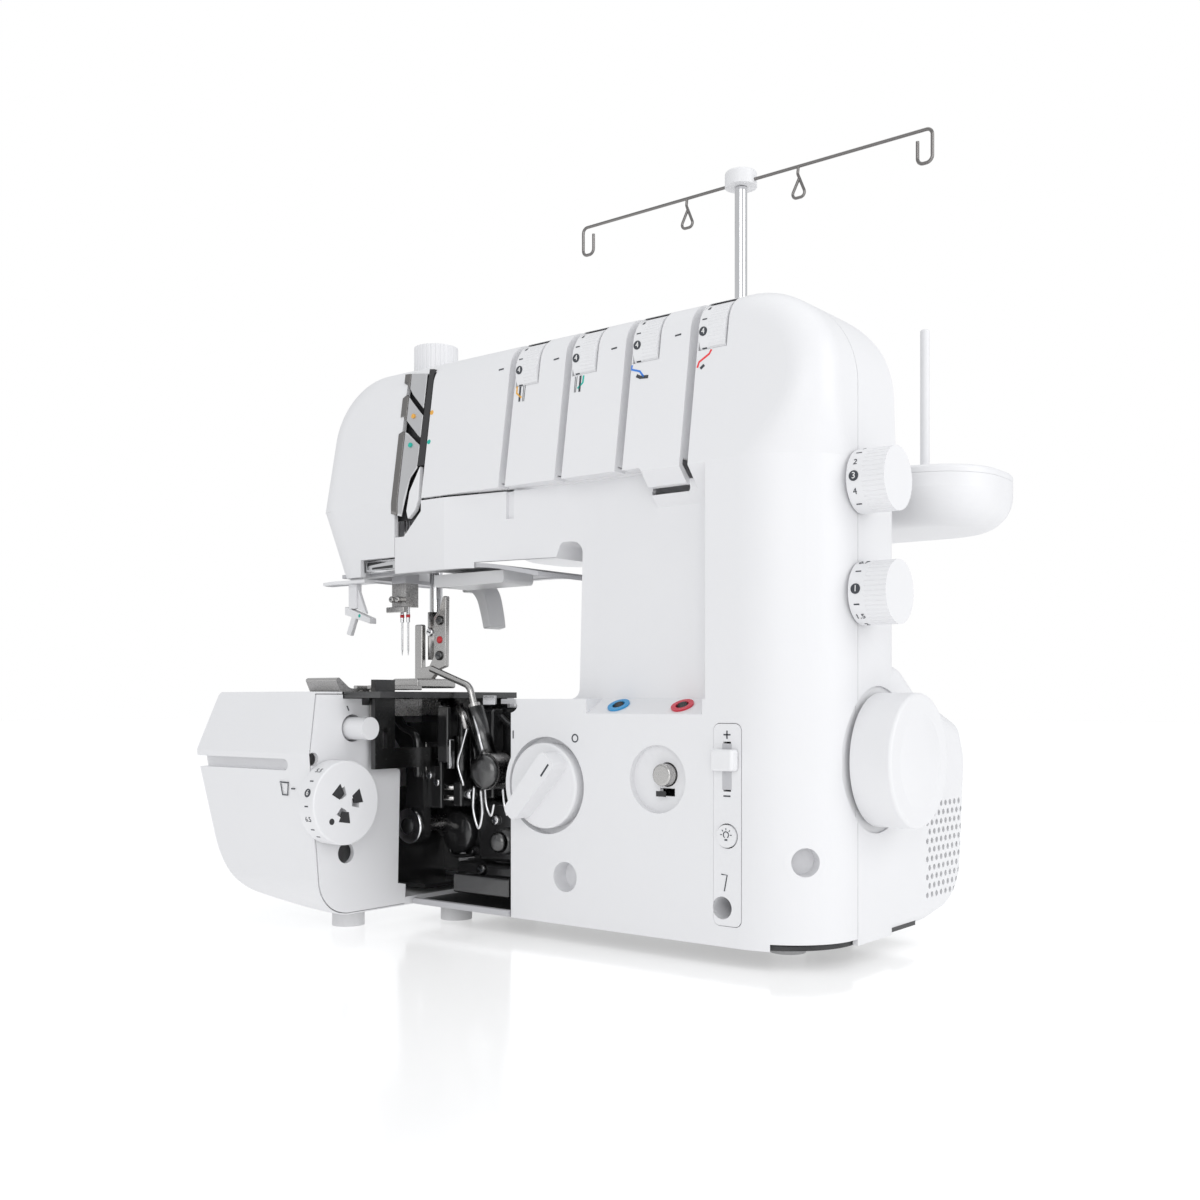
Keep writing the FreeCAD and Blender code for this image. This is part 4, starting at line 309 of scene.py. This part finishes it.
for step in range(4):
    z = 170.4 - step * 1.7
    stroke(f"feed_rung_{step}", np.array([(160.8, 21.1, z), (161.7, 23.3, z)]) + clear_of_corner, 0.4,
           dark_ink, "housing", corner_out)
stroke("bin_sign_rim", [(-89.6, -66.3, 72.6), (-82.9, -66.3, 72.4)], 0.6, dark_ink, "housing")
stroke("bin_sign_left", [(-89.0, -66.25, 72.0), (-88.0, -65.95, 66.6)], 0.5, dark_ink, "housing")
stroke("bin_sign_right", [(-83.4, -66.25, 72.0), (-84.2, -65.95, 66.6)], 0.5, dark_ink, "housing")
stroke("bin_sign_foot", [(-88.2, -65.95, 66.5), (-84.0, -65.95, 66.5)], 0.5, dark_ink, "housing")
stroke("slot_mark", [(-81.2, -66.15, 69.7), (-78.4, -66.15, 69.7)], 0.6, dark_ink, "housing")
stroke("fine_mark", [(-66.9, -44.0, 109.1), (-66.9, -42.8, 106.8)], 0.6, dark_ink, "housing", (1, 0, 0))


# ---- Figures on the dials and knobs ----
# Numbers and dashes printed round the smooth edge of each turned dial, the chosen one in a dark round.
# They turn with their dial.
forwards = (0, -1, 0)


def ring_marks(stem, centre, radius, figures, body, size):
    """Figures on a cylinder about the x axis: at angle a, the place is
    centre + radius * (cos a * forwards + sin a * upright). A dash stands for a short line along the axis."""
    zero = np.asarray(forwards, float)
    axis = np.array((1.0, 0, 0))
    upright = np.array((0, 0, 1.0))
    for count, (angle, text) in enumerate(figures, 1):
        turn = math.radians(angle)
        out = zero * math.cos(turn) + upright * math.sin(turn)
        along = upright * math.cos(turn) - zero * math.sin(turn)
        place = np.asarray(centre) + out * (radius + 0.05)
        name = f"{stem}_{count}"
        if text == "-":
            stroke(name, [place - axis * size * 0.45, place + axis * size * 0.45], 0.6, dark_ink, body, out)
            continue
        ink = dark_ink
        if text.startswith("*"):
            text = text[1:]
            ink = white_ink
            disc = arc((0, 0, 0), size * 0.78, 0, 360, axis, along)[:-1]
            skin(name + "_round", [place + disc - out * 0.4, place + disc + out * 0.06], dark_ink, body,
                 smooth=False)
            place = place + out * 0.12
        lettering(name, text, size, place, axis, along, ink, body)


def corners_of(node):
    """The low and high corners of a CAD node's box, in millimetres from the front panel's corner."""
    return [np.array(corner) * 1000 - (base_x * 1000, base_y * 1000, 0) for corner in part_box(node)]


dial_radius = 15.5
dial_band = 2.3
knob_radius = 13.5
knob_band = 13.6
width_radius = 20.0
width_band = -60.5
for number in range(1, 5):
    low, high = corners_of(f"tension_dial_{number}")
    centre = (low[0] + dial_band, (low[1] + high[1]) / 2, (low[2] + high[2]) / 2)
    marks = [(78, "7"), (50, "6"), (24, "-"), (3, "*4"), (-24, "-"), (-50, "3"), (-76, "2")]
    ring_marks(f"tension_figure_{number}", centre, dial_radius, marks, f"tension_{number}", 2.6)
for stem, body, node, marks in (
    ("length_figure", "stitch_length", "stitch_length_knob",
     [(75, "1"), (52, "-"), (28, "2"), (2, "*3"), (-26, "4"), (-52, "-")]),
    ("feed_figure", "differential", "differential_knob",
     [(66, "0.7"), (38, "-"), (4, "*1"), (-24, "-"), (-50, "1.5"), (-80, "2")]),
):
    low, high = corners_of(node)
    centre = (high[0] - knob_band, (low[1] + high[1]) / 2, (low[2] + high[2]) / 2)
    ring_marks(stem, centre, knob_radius, marks, body, 2.8)
low, high = corners_of("cutting_width_dial")
width_centre = np.array((width_band, (low[1] + high[1]) / 2, (low[2] + high[2]) / 2))
ring_marks("width_figure", width_centre, width_radius,
           [(51, "5.5"), (33, "-"), (16, "*6"), (-2, "-"), (-20, "6.5"), (-36, "-"), (-50, "-")],
           "width_dial", 2.6)
window_low = -56.2
window_high = -55.4
# Dark slabs in the dial's three windows and its hole: painted shade in the openings.
for number, turn in enumerate((134, 19, -99), 1):
    outwards = np.array((0, math.cos(math.radians(turn)), math.sin(math.radians(turn))))
    sideways = np.array((0, -outwards[2], outwards[1]))
    outline = ((4.2, 1.9), (9.4, 3.5), (9.4, -3.5), (4.2, -1.9))
    ring = np.array([outwards * reach + sideways * half for reach, half in outline])
    ring += (0, width_centre[1], width_centre[2])
    skin(f"width_window_shade_{number}", [ring + (window_low, 0, 0), ring + (window_high, 0, 0)], dark_plastic,
         "width_dial", smooth=False)
hole = arc((0, -63.0, 55.1), 1.5, 0, 360, (0, 1, 0), (0, 0, 1))[:-1]
skin("width_hole_shade", [hole + (window_low, 0, 0), hole + (window_high, 0, 0)], dark_plastic, "width_dial",
     smooth=False)
stroke("grip_line", [(34.5, -13.05, 82.7), (30.0, -13.05, 77.2)], 0.9, dark_ink, "knob")


# ---- Chrome thread channel ----
# Three pressed and plated covers that hide the thread's way down the head, with S-shaped slots between them.
# They are screwed over a moulded groove; the dark sheets in it are painted shade.
sheet = 0.7
columns = 24


def channel_cover(name, top, bottom, left, right, material):
    """A thin bowed sheet between a top and a bottom edge given as (x, z) points.
    Its depth is the head's lean plus a bow: a ridge near the left edge, falling away to the right."""
    x = np.linspace(left, right, columns)
    edge_top = np.interp(x, *np.transpose(top))
    edge_low = np.interp(x, *np.transpose(bottom))
    t = np.linspace(0, 1, columns)[:, None]
    z = edge_top * (1 - t) + edge_low * t
    bow = np.interp(x, [-84.0, -83.2, -78.6, -77.9, -70, -66], [0.9, -0.5, -1.0, -0.6, 0.9, 2.4])
    y = lean(z) + bow
    front = np.stack([np.broadcast_to(x, z.shape), y, z], axis=-1)
    back = front + (0, sheet, 0)
    loop = [np.concatenate([f, b[::-1]]) for f, b in zip(front, back)]
    return skin(name, loop, material, "housing")


covers = [
    ("top", [(-84, 282.8), (-66, 281.0)],
     [(-84, 278.0), (-80.5, 278.4), (-76, 271.0), (-68.5, 262.8), (-66, 262.0)]),
    ("middle", [(-84, 269.3), (-79.5, 271.3), (-76.5, 267.6), (-69, 259.5), (-66, 258.2)],
     [(-84, 259.6), (-80.5, 259.9), (-76, 255.0), (-69, 247.6), (-66, 246.4)]),
    ("low", [(-84, 250.4), (-79.5, 251.6), (-76.5, 250.3), (-69, 243.6), (-66, 242.0)],
     [(-84, 208.7), (-75.4, 206.4), (-74.6, 214.0), (-72.0, 226.0), (-68, 232.0)]),
]
for name, top, bottom in covers:
    # Each cover's left strip is chrome painted dark with shade, and its slope chrome painted pale as a
    # highlight.
    strip = channel_cover(f"thread_cover_{name}_ridge", top, bottom, -83.8, -78.4, painted_shade_chrome)
    channel_cover(f"thread_cover_{name}_slope", top, bottom, -78.1, -68.4, painted_highlight_chrome)
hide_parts("thread_channel_cover")
# Dark sheets beside and behind the covers: painted shade in the groove.
wall = np.array([(-67.6, 232.0), (-62.6, 232.0), (-62.6, 282.5), (-66.0, 283.0)])
wall = np.stack([wall[:, 0], lean(wall[:, 1]) + 0.5, wall[:, 1]], axis=1)
skin("channel_wall_shade", [wall, wall + (0, 3.0, 0)], dark_plastic, "housing", smooth=False)
liner = np.array([(-84.2, 205.0), (-62.2, 205.0), (-62.2, 284.0), (-84.2, 284.0)])
liner = np.stack([liner[:, 0], lean(liner[:, 1]) + 4.2, liner[:, 1]], axis=1)
skin("channel_floor_shade", [liner, liner + (0, 1.0, 0)], dark_plastic, "housing", smooth=False)
tongue = on_head([(-64.7, 231.6), (-63.4, 214.0), (-66.0, 208.5), (-71.0, 204.8), (-72.2, 209.0),
                  (-70.6, 219.0)],
                 0.3)
skin("channel_tongue", [tongue, tongue + (0, 3.0, 0)], white_plastic, "housing", smooth=False, round_off=0.5)
dots = [
    ("cover_orange_dot", orange_ink, -73.9, 259.1, 0.4),
    ("cover_teal_dot", teal_ink, -73.9, 243.8, 0.4),
    ("head_orange_dot", orange_ink, -60.4, 259.1, 0.0),
    ("head_teal_dot", teal_ink, -60.2, 243.7, 0.0),
]
for name, ink, x, z, proud in dots:
    dot = arc((x, 0, z), 1.2, 0, 360)[:-1]
    dot = on_head(dot[:, [0, 2]], proud)
    skin(name, [dot - (0, 0.1, 0), dot + (0, 1.0, 0)], ink, "housing", smooth=False)


def pipe(name, path, radius, material, body, sides=14):
    """A round rod along a path: at each point a circle of the radius across the direction of travel.
    A radius may be one number or one for each point."""
    path = np.asarray(path, float)
    along = np.gradient(path, axis=0)
    along /= np.linalg.norm(along, axis=1, keepdims=True)
    flat = np.linalg.svd(path - path.mean(axis=0))[2][2]
    side = np.cross(along, flat)
    side /= np.linalg.norm(side, axis=1, keepdims=True)
    up = np.cross(side, along)
    angle = np.linspace(0, 2 * np.pi, sides, endpoint=False)
    size = np.broadcast_to(radius, len(path))[:, None, None]
    rings = path[:, None] + size * (np.cos(angle)[:, None] * side[:, None]
                                    + np.sin(angle)[:, None] * up[:, None])
    return skin(name, rings, material, body)


def smooth_path(points, steps=8):
    """Points on a Catmull-Rom curve, steps to each span, through all the given points."""
    points = np.asarray(points, float)
    padded = np.vstack([2 * points[0] - points[1], points, 2 * points[-1] - points[-2]])
    t = np.linspace(0, 1, steps, endpoint=False)[:, None]
    spans = [0.5 * (2 * b + (c - a) * t + (2 * a - 5 * b + 4 * c - d) * t ** 2
                    + (3 * b - a - 3 * c + d) * t ** 3)
             for a, b, c, d in zip(padded, padded[1:], padded[2:], padded[3:])]
    return np.vstack(spans + [points[-1:]])


# ---- Guide tray, needles and presser foot ----
# A plated wire tray under the head, the clamp's set screws, and the foot's two ankle plates.
# Stamped and turned steel, screwed to the bars that carry them.
tray = [(-105.5, 3.2, 185.0), (-105.2, 3.2, 180.2), (-83.0, 3.2, 179.8), (-82.5, 3.2, 185.0),
        (-105.5, 3.2, 185.0)]
pipe("guide_tray_rim", tray, 0.7, chrome, "housing")
tray_floor = np.array([(-105, 3.6, 184.6), (-105, 3.6, 180.4), (-83, 3.6, 180.2), (-83, 3.6, 184.8)])
skin("guide_tray_floor", [tray_floor, tray_floor + (0, 1.0, 0)], dark_plastic, "housing", smooth=False)


def box_piece(name, low, high, material, body, round_off=0.4):
    """A block between two opposite corners with rounded edges."""
    x0, y0, z0 = low
    x1, y1, z1 = high
    ring = np.array([(x0, y0, 0), (x1, y0, 0), (x1, y1, 0), (x0, y1, 0)])
    return skin(name, [ring + (0, 0, z0), ring + (0, 0, z1)], material, body, smooth=False,
                round_off=round_off)


def turned(name, start, axis, profile, material, body, sides=32):
    """A solid of revolution about an axis: circles of each radius at each distance from start."""
    axis = np.asarray(axis, float)
    across = np.cross(axis, (0, 0, 1) if abs(axis[2]) < 0.9 else (1, 0, 0))
    across /= np.linalg.norm(across)
    other = np.cross(axis, across)
    angle = np.linspace(0, 2 * np.pi, sides, endpoint=False)[:, None]
    circle = np.cos(angle) * across + np.sin(angle) * other
    rings = [np.asarray(start) + axis * distance + circle * radius for distance, radius in profile]
    return skin(name, rings, material, body)


def screw(name, place, radius, material, body="housing", facing=(0, -1, 0)):
    """A pan head, its edge a quarter circle, with a dark stroke across its face as the painted shade of its
    driver slot.
    """
    facing = np.asarray(facing, float)
    height = radius * 0.45
    profile = [(-0.5, radius), (height * 0.5, radius), (height * 0.85, radius * 0.88),
               (height, radius * 0.65)]
    turned(name, place, facing, profile, material, body, sides=24)
    top = np.asarray(place) + facing * height
    along = np.cross(facing, (0.4, 0.3, 1))
    along /= np.linalg.norm(along)
    # The dark stroke is the painted shade of the driver slot.
    stroke(name + "_slot", [top - along * radius * 0.6, top + along * radius * 0.6], radius * 0.28, dark_ink,
           body, facing, 0.1)


box_piece("clamp_cap", (-104.6, 19.5, 174.6), (-93.4, 30.0, 181.0), grey_plastic, "needle_bar_group", 0.8)
box_piece("clamp_guide", (-106.5, 17.4, 159.0), (-92.8, 20.0, 162.0), steel, "needle_bar_group", 0.5)
for number, x in enumerate((-101.8, -97.2), 1):
    turned(f"needle_collar_{number}", (x, 25, 156.6), (0, 0, 1), [(0, 1.15), (1.6, 1.15)], red_ink,
           "needle_bar_group", 16)
    screw(f"clamp_screw_{number}", (x, 17.2, 166.0), 1.7, steel, "needle_bar_group")
ankle = box_piece("ankle_plate_left", (-104.5, 36.5, 121.0), (-98.6, 40.0, 153.5), steel, "presser_group",
                  1.0)
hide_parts("presser_foot")
arm = np.array([(-98.6, 121.0), (-92.5, 121.0), (-84.5, 128.5), (-79.5, 130.0), (-79.0, 168.0),
                (-81.5, 168.0),
                (-84.5, 161.0), (-88.5, 157.0), (-88.5, 136.0), (-92.0, 130.5), (-98.6, 129.5)])
arm = np.stack([arm[:, 0], np.full(len(arm), 35.5), arm[:, 1]], axis=1)
skin("ankle_plate_right", [arm, arm + (0, 3.0, 0)], steel, "presser_group", smooth=False, round_off=0.6)
turned("bar_socket", (-93, 42, 134), (0, 0, 1), [(0, 4.6), (26, 4.6)], steel, "presser_group", 28)
screw("ankle_screw_top", (-83.6, 35.4, 155), 2.6, dark_steel, "presser_group")
screw("ankle_screw_low", (-84.0, 35.4, 136), 2.6, dark_steel, "presser_group")
turned("ankle_spot", (-83.8, 35.4, 144.5), (0, -1, 0), [(-0.4, 2.0), (0.2, 2.0)], red_ink, "presser_group",
       20)
screw("foot_screw", (-93, 37.4, 149), 2.4, chrome, "presser_group")
box_piece("foot_bridge", (-104.5, 20.0, 118.4), (-84.5, 49.0, 123.5), steel, "presser_group", 1.2)
toes = [(-106.5, -5.5), (-103.2, -6), (-103.2, 22), (-106.5, 22)]
for number, shift in enumerate((0.0, 10.6, 20.0), 1):
    ring = np.array([(x + shift, y, 0) for x, y in toes])
    skin(f"foot_toe_{number}", [ring + (0, 0, 117.2), ring + (0, 0, 119.6)], steel, "presser_group",
         smooth=False, round_off=0.5)


# ---- Lifter and needle threader ----
# A curved white lever that raises the foot, and the threader's flat tab with its bracket and prong.
# Both are moulded plastic on small steel pins.
centre_line = smooth_path([(-76.0, 50, 174.5), (-68.5, 50, 173.5), (-63.0, 50, 168.0), (-60.0, 50, 159.0),
                           (-58.2, 50, 150.5)])
heading = np.gradient(centre_line, axis=0)
heading /= np.linalg.norm(heading, axis=1, keepdims=True)
across = np.cross(heading, (0, 1, 0))
thickness = np.linspace(4.2, 2.6, len(centre_line))[:, None]
lever_corners = ((1, -5), (-1, -5), (-1, 8), (1, 8))
lever = np.stack([centre_line + across * thickness * a + (0, b, 0) for a, b in lever_corners], axis=1)
lever = skin("lifter_lever", lever, lamp_plastic, "lifter", smooth=False, round_off=0.9)
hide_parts("presser_lifter")
box_piece("lifter_root", (-80, 46, 172), (-72, 60, 178), white_plastic, "lifter", 1.0)
tab = np.array([(-140, 2.0, 0), (-128, -0.5, 0), (-106, 1.5, 0), (-106, 10, 0), (-128, 11, 0), (-140, 7, 0)])
tab = skin("threader_tab", [tab + (0, 0, 174.2), tab + (0, 0, 176.0)], white_plastic, "threader",
           smooth=False, round_off=0.4)
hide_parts("needle_threader")
# Grey strokes under the white tab: painted shade along its grip ridges.
for number in range(9):
    x = -138.0 + number * 1.6
    stroke(f"threader_ridge_shade_{number}", [(x, 2.4, 174.1), (x, 7.6, 174.1)], 0.6, grey_plastic, "threader",
           (0, 0, -1), 0.3)
box_piece("threader_post", (-121.5, 4.0, 161.0), (-115.0, 8.0, 174.4), white_plastic, "threader", 0.5)
web = np.array([(-115.0, 5.0, 172.0), (-115.0, 5.0, 160.5), (-108.5, 5.0, 158.0)])
skin("threader_web", [web, web + (0, 2.0, 0)], white_plastic, "threader", smooth=False, round_off=0.3)
beam = np.array([(-124.5, 4.0, 162.5), (-104.5, 4.0, 155.5), (-104.5, 4.0, 152.5), (-124.5, 4.0, 158.0)])
skin("threader_beam", [beam, beam + (0, 5.0, 0)], white_plastic, "threader", smooth=False, round_off=0.5)
prong = np.array([(-118.0, 3.8, 158.5), (-114.5, 3.8, 157.5), (-119.5, 3.8, 146.5), (-123.0, 3.8, 147.5)])
skin("threader_prong", [prong, prong + (0, 2.4, 0)], white_plastic, "threader", smooth=False, round_off=0.4)
dot = arc((-112.5, 3.9, 157.0), 0.9, 0, 360)[:-1]
skin("threader_dot", [dot, dot + (0, 0.8, 0)], teal_ink, "threader", smooth=False)


# ---- Looper bay ----
# The open works below the bed: bosses and ribs of the black enamelled casting, levers, rods and springs.
# Cap screws and cross-head screws of bright steel hold them to the frame.
box_piece("crank_box", (-52, 31, 28), (-8, 42, 60), cast_iron, "housing", 3)
box_piece("frame_rib", (-50, 33, 60), (-42, 42, 108), cast_iron, "housing", 2)
box_piece("frame_shelf", (-66, 30, 20), (-6, 42, 27), cast_iron, "housing", 2)
box_piece("front_rail", (-44, 5, 15.5), (-6, 9, 25), cast_iron, "housing", 1.2)
box_piece("tray_edge", (-65.5, -2.0, 8.4), (-0.6, 1.0, 11.4), grey_plastic, "housing", 0.5)
box_piece("rod_block", (-56, 17, 57), (-49.5, 25, 70), cast_iron, "housing", 1.4)
box_piece("loop_bracket", (-59, 9, 80), (-51.5, 12, 109), cast_iron, "housing", 1.0)
box_piece("loop_bracket_edge", (-51.4, 8.5, 77), (-49.2, 12, 92), chrome, "housing", 0.5)
pipe("tie_rod_upper", [(-86, 22, 66.4), (-56, 22, 66.4)], 1.5, steel, "housing")
pipe("tie_rod_lower", [(-86, 22, 60.8), (-56, 22, 60.8)], 1.5, steel, "housing")
pipe("lower_arm", smooth_path([(-90.0, 8.2, 104.4), (-83.0, 8.0, 98.0), (-73.0, 8.0, 92.0), (-72.0, 8.2, 72.0)]),
     2.2, cast_iron, "lower_looper_group")
turned("lever_eye", (-78, 9.6, 46.5), (0, -1, 0), [(0, 9.4), (2.4, 9.4), (3.0, 8.6)], chrome,
       "lower_looper_group", 40)
# A dark disc in the eye: painted shade in its bore.
turned("lever_bore_shade", (-78, 6.4, 46.5), (0, -1, 0), [(0, 4.2), (0.5, 4.2)], dark_plastic, "lower_looper_group",
       32)
pipe("thread_tube", [(-46.0, 12, 109.5), (-40.5, 12, 97.6)], 2.0, steel, "housing")
pipe("thread_wire", smooth_path([(-40.5, 12, 97.6), (-44.0, 12, 88.0), (-46.8, 12, 79.3), (-42.8, 12, 68.6)]),
     0.8, chrome, "housing")
pipe("looper_shank", [(-31.4, 8, 108.0), (-20.5, 8, 81.0)], 4.3, dark_steel, "upper_looper_group", 24)
# A thin chrome rod along the dark shank: a painted highlight.
pipe("looper_painted_highlight", [(-28.6, 4.2, 104.0), (-20.8, 4.2, 84.0)], 0.9, chrome, "upper_looper_group")
turned("looper_cap", (-19, 3.0, 77), (0, -1, 0), [(0, 8.8), (1.5, 8.8), (3.2, 7.6), (4.2, 5.0), (4.6, 1.5)],
       dark_steel, "upper_looper_group", 40)
turned("second_boss", (-14.5, 42, 42.3), (0, -1, 0), [(0, 7.5), (34, 6.5)], cast_iron, "housing", 32)
turned("second_cap", (-14.5, 8, 42.3), (0, -1, 0), [(0, 5.2), (2, 5.0), (3.2, 3.4), (3.6, 1.2)], dark_steel,
       "housing", 32)
for number, path in enumerate([
    [(-27.0, 3, 69.3), (-27.5, 3, 58.0), (-24.0, 3, 48.9), (-21.5, 3, 56.0), (-22.5, 3, 68.0)],
    [(-21.6, 5, 69.1), (-20.5, 5, 60.0), (-17.4, 5, 55.3), (-15.4, 5, 61.0)],
    [(-9.7, 5, 68.7), (-8.6, 5, 61.0), (-6.8, 5, 55.9)],
], 1):
    pipe(f"spring_wire_{number}", smooth_path(path), 0.75, chrome, "housing", 10)
rim = smooth_path([(-80, 40, 41), (-74, 40, 42.5), (-64.5, 40, 41.8), (-63.5, 40, 36), (-64.5, 40, 29.6),
                   (-78, 40, 28.4), (-80.4, 40, 34), (-80, 40, 41)])
pipe("pocket_rim", rim, 1.1, cast_iron, "housing")
bright = [(-58, 79), (-54.5, 96), (-38, 50), (-60, 24), (-24, 33), (-13.3, 52)]
for number, (x, z) in enumerate(bright, 1):
    screw(f"bright_screw_{number}", (x, 30.4 if 28 < z < 60 else 41.0, z), 2.7, chrome)
dull = [(-30, 88), (-12, 98), (-34, 72), (-58, 106), (-47, 24)]
for number, (x, z) in enumerate(dull, 1):
    screw(f"dull_screw_{number}", (x, 29.6 if z < 28 else 41.4, z), 3.0, dark_steel)
left_rib = smooth_path([(-70, 38, 104), (-66, 38, 92), (-60, 38, 84), (-62, 38, 72), (-70, 38, 66),
                        (-74, 38, 54)])
pipe("rib_edge_left", left_rib, 1.4, cast_iron, "housing")
pipe("rib_edge_right", smooth_path([(-40, 36, 104), (-30, 36, 98), (-14, 36, 100), (-4, 36, 96)]), 1.8,
     cast_iron,
     "housing")
pipe("rib_edge_low", smooth_path([(-56, 34, 34), (-46, 34, 30), (-30, 34, 29), (-6, 34, 34)]), 1.8, cast_iron,
     "housing")
turned("clamp_boss", (-67, 40, 42), (0, -1, 0), [(0, 11), (8, 11), (9, 10)], cast_iron, "housing", 40)
turned("crank_boss", (-38, 34, 76), (0, -1, 0), [(0, 10), (12, 9), (13.5, 7.5)], cast_iron, "housing", 40)
for number, (x, z) in enumerate([(-68.0, 73.0), (-62.5, 69.5)], 1):
    screw(f"lever_screw_{number}", (x, 12.4, z), 2.2, chrome, "housing")
box_piece("lever_plate", (-70.5, 13.0, 56.0), (-60.0, 15.5, 90.0), cast_iron, "housing", 0.9)
pipe("lever_plate_edge", smooth_path([(-70.8, 12.8, 90), (-70.9, 12.8, 74), (-70.6, 12.8, 57)]), 0.5, steel,
     "housing", 8)
turned("rod_collar", (-49.8, 21, 63.6), (1, 0, 0), [(0, 3.2), (5, 3.2), (5.5, 2.6)], chrome, "housing", 28)
box_piece("bed_clip", (-20.5, 2.0, 109.6), (-12.2, 3.4, 114.2), chrome, "housing", 0.4)


# ---- Thread ports ----
# Two push-in collars on the sloping ledge, where air blows the looper threads through.
# Each has a pale lip around a dark disc, the painted shade in its mouth.
for colour, node in (("blue", "blue_port_ring"), ("red", "red_port_ring")):
    low, high = corners_of(node)
    middle = (low + high) / 2
    slope = np.array((0, -0.8, 0.6))
    top = middle + slope * ((high[2] - low[2]) / 2 - 2.0)
    # Dark disc: painted shade inside the port's mouth.
    turned(f"{colour}_port_mouth_shade", top - slope * 2.2, slope, [(0, 2.9), (1.2, 2.9)], dark_plastic, "housing",
           28)


# ---- Floor, backdrop and light ----
# A pale glossy floor under a white sky, with large soft lights at the right front, the right side and above.
# The sky is bright behind the machine and a little dimmer as a light, so the white covers keep their shading.
sky = bpy.data.worlds.new("sky")
bpy.context.scene.world = sky
sky.use_nodes = True
sky_nodes = sky.node_tree.nodes
seen = sky_nodes["Background"]
seen.inputs["Color"].default_value = (1, 1, 1, 1)
seen.inputs["Strength"].default_value = 1.0
cast = sky_nodes.new("ShaderNodeBackground")
cast.inputs["Color"].default_value = (0.97, 0.985, 1, 1)
cast.inputs["Strength"].default_value = 0.68
ray = sky_nodes.new("ShaderNodeLightPath")
either = sky_nodes.new("ShaderNodeMixShader")
sky.node_tree.links.new(ray.outputs["Is Camera Ray"], either.inputs["Fac"])
sky.node_tree.links.new(cast.outputs["Background"], either.inputs[1])
sky.node_tree.links.new(seen.outputs["Background"], either.inputs[2])
sky.node_tree.links.new(either.outputs["Shader"], sky_nodes["World Output"].inputs["Surface"])
bpy.context.scene.view_settings.view_transform = "Standard"
half_floor = 6.0
corners = [(-half_floor, -half_floor, 0), (half_floor, -half_floor, 0), (half_floor, half_floor, 0),
           (-half_floor, half_floor, 0)]
floor_mesh = bpy.data.meshes.new("floor")
floor_mesh.from_pydata(corners, [], [(0, 1, 2, 3)])
floor = bpy.data.objects.new("floor", floor_mesh)
bpy.context.scene.collection.objects.link(floor)
floor_finish = finish("floor_finish", (0.70, 0.70, 0.70), 0.14, grain=60, bump=0.0, spread=0.02, tint=0.005)
floor_shader = floor_finish.node_tree.nodes["Principled BSDF"]
floor_shader.inputs["Emission Color"].default_value = (1, 1, 1, 1)
floor_shader.inputs["Emission Strength"].default_value = 0.42
floor.data.materials.append(floor_finish)


def softbox(name, place, aim, width, height, power):
    """A rectangular area light at place, turned to face aim."""
    data = bpy.data.lights.new(name, "AREA")
    data.shape = "RECTANGLE"
    data.size = width
    data.size_y = height
    data.energy = power
    lamp = bpy.data.objects.new(name, data)
    lamp.location = place
    lamp.rotation_euler = (Vector(aim) - Vector(place)).to_track_quat("-Z", "Y").to_euler()
    bpy.context.scene.collection.objects.link(lamp)


softbox("key_light", (0.9, -1.6, 0.7), (-0.05, 0, 0.1), 1.2, 1.0, 7)
softbox("side_light", (1.7, 0.2, 0.9), (0, 0, 0.2), 1.0, 1.4, 9)
softbox("top_light", (0.0, 0.0, 1.8), (0, 0, 0), 1.6, 1.6, 5)
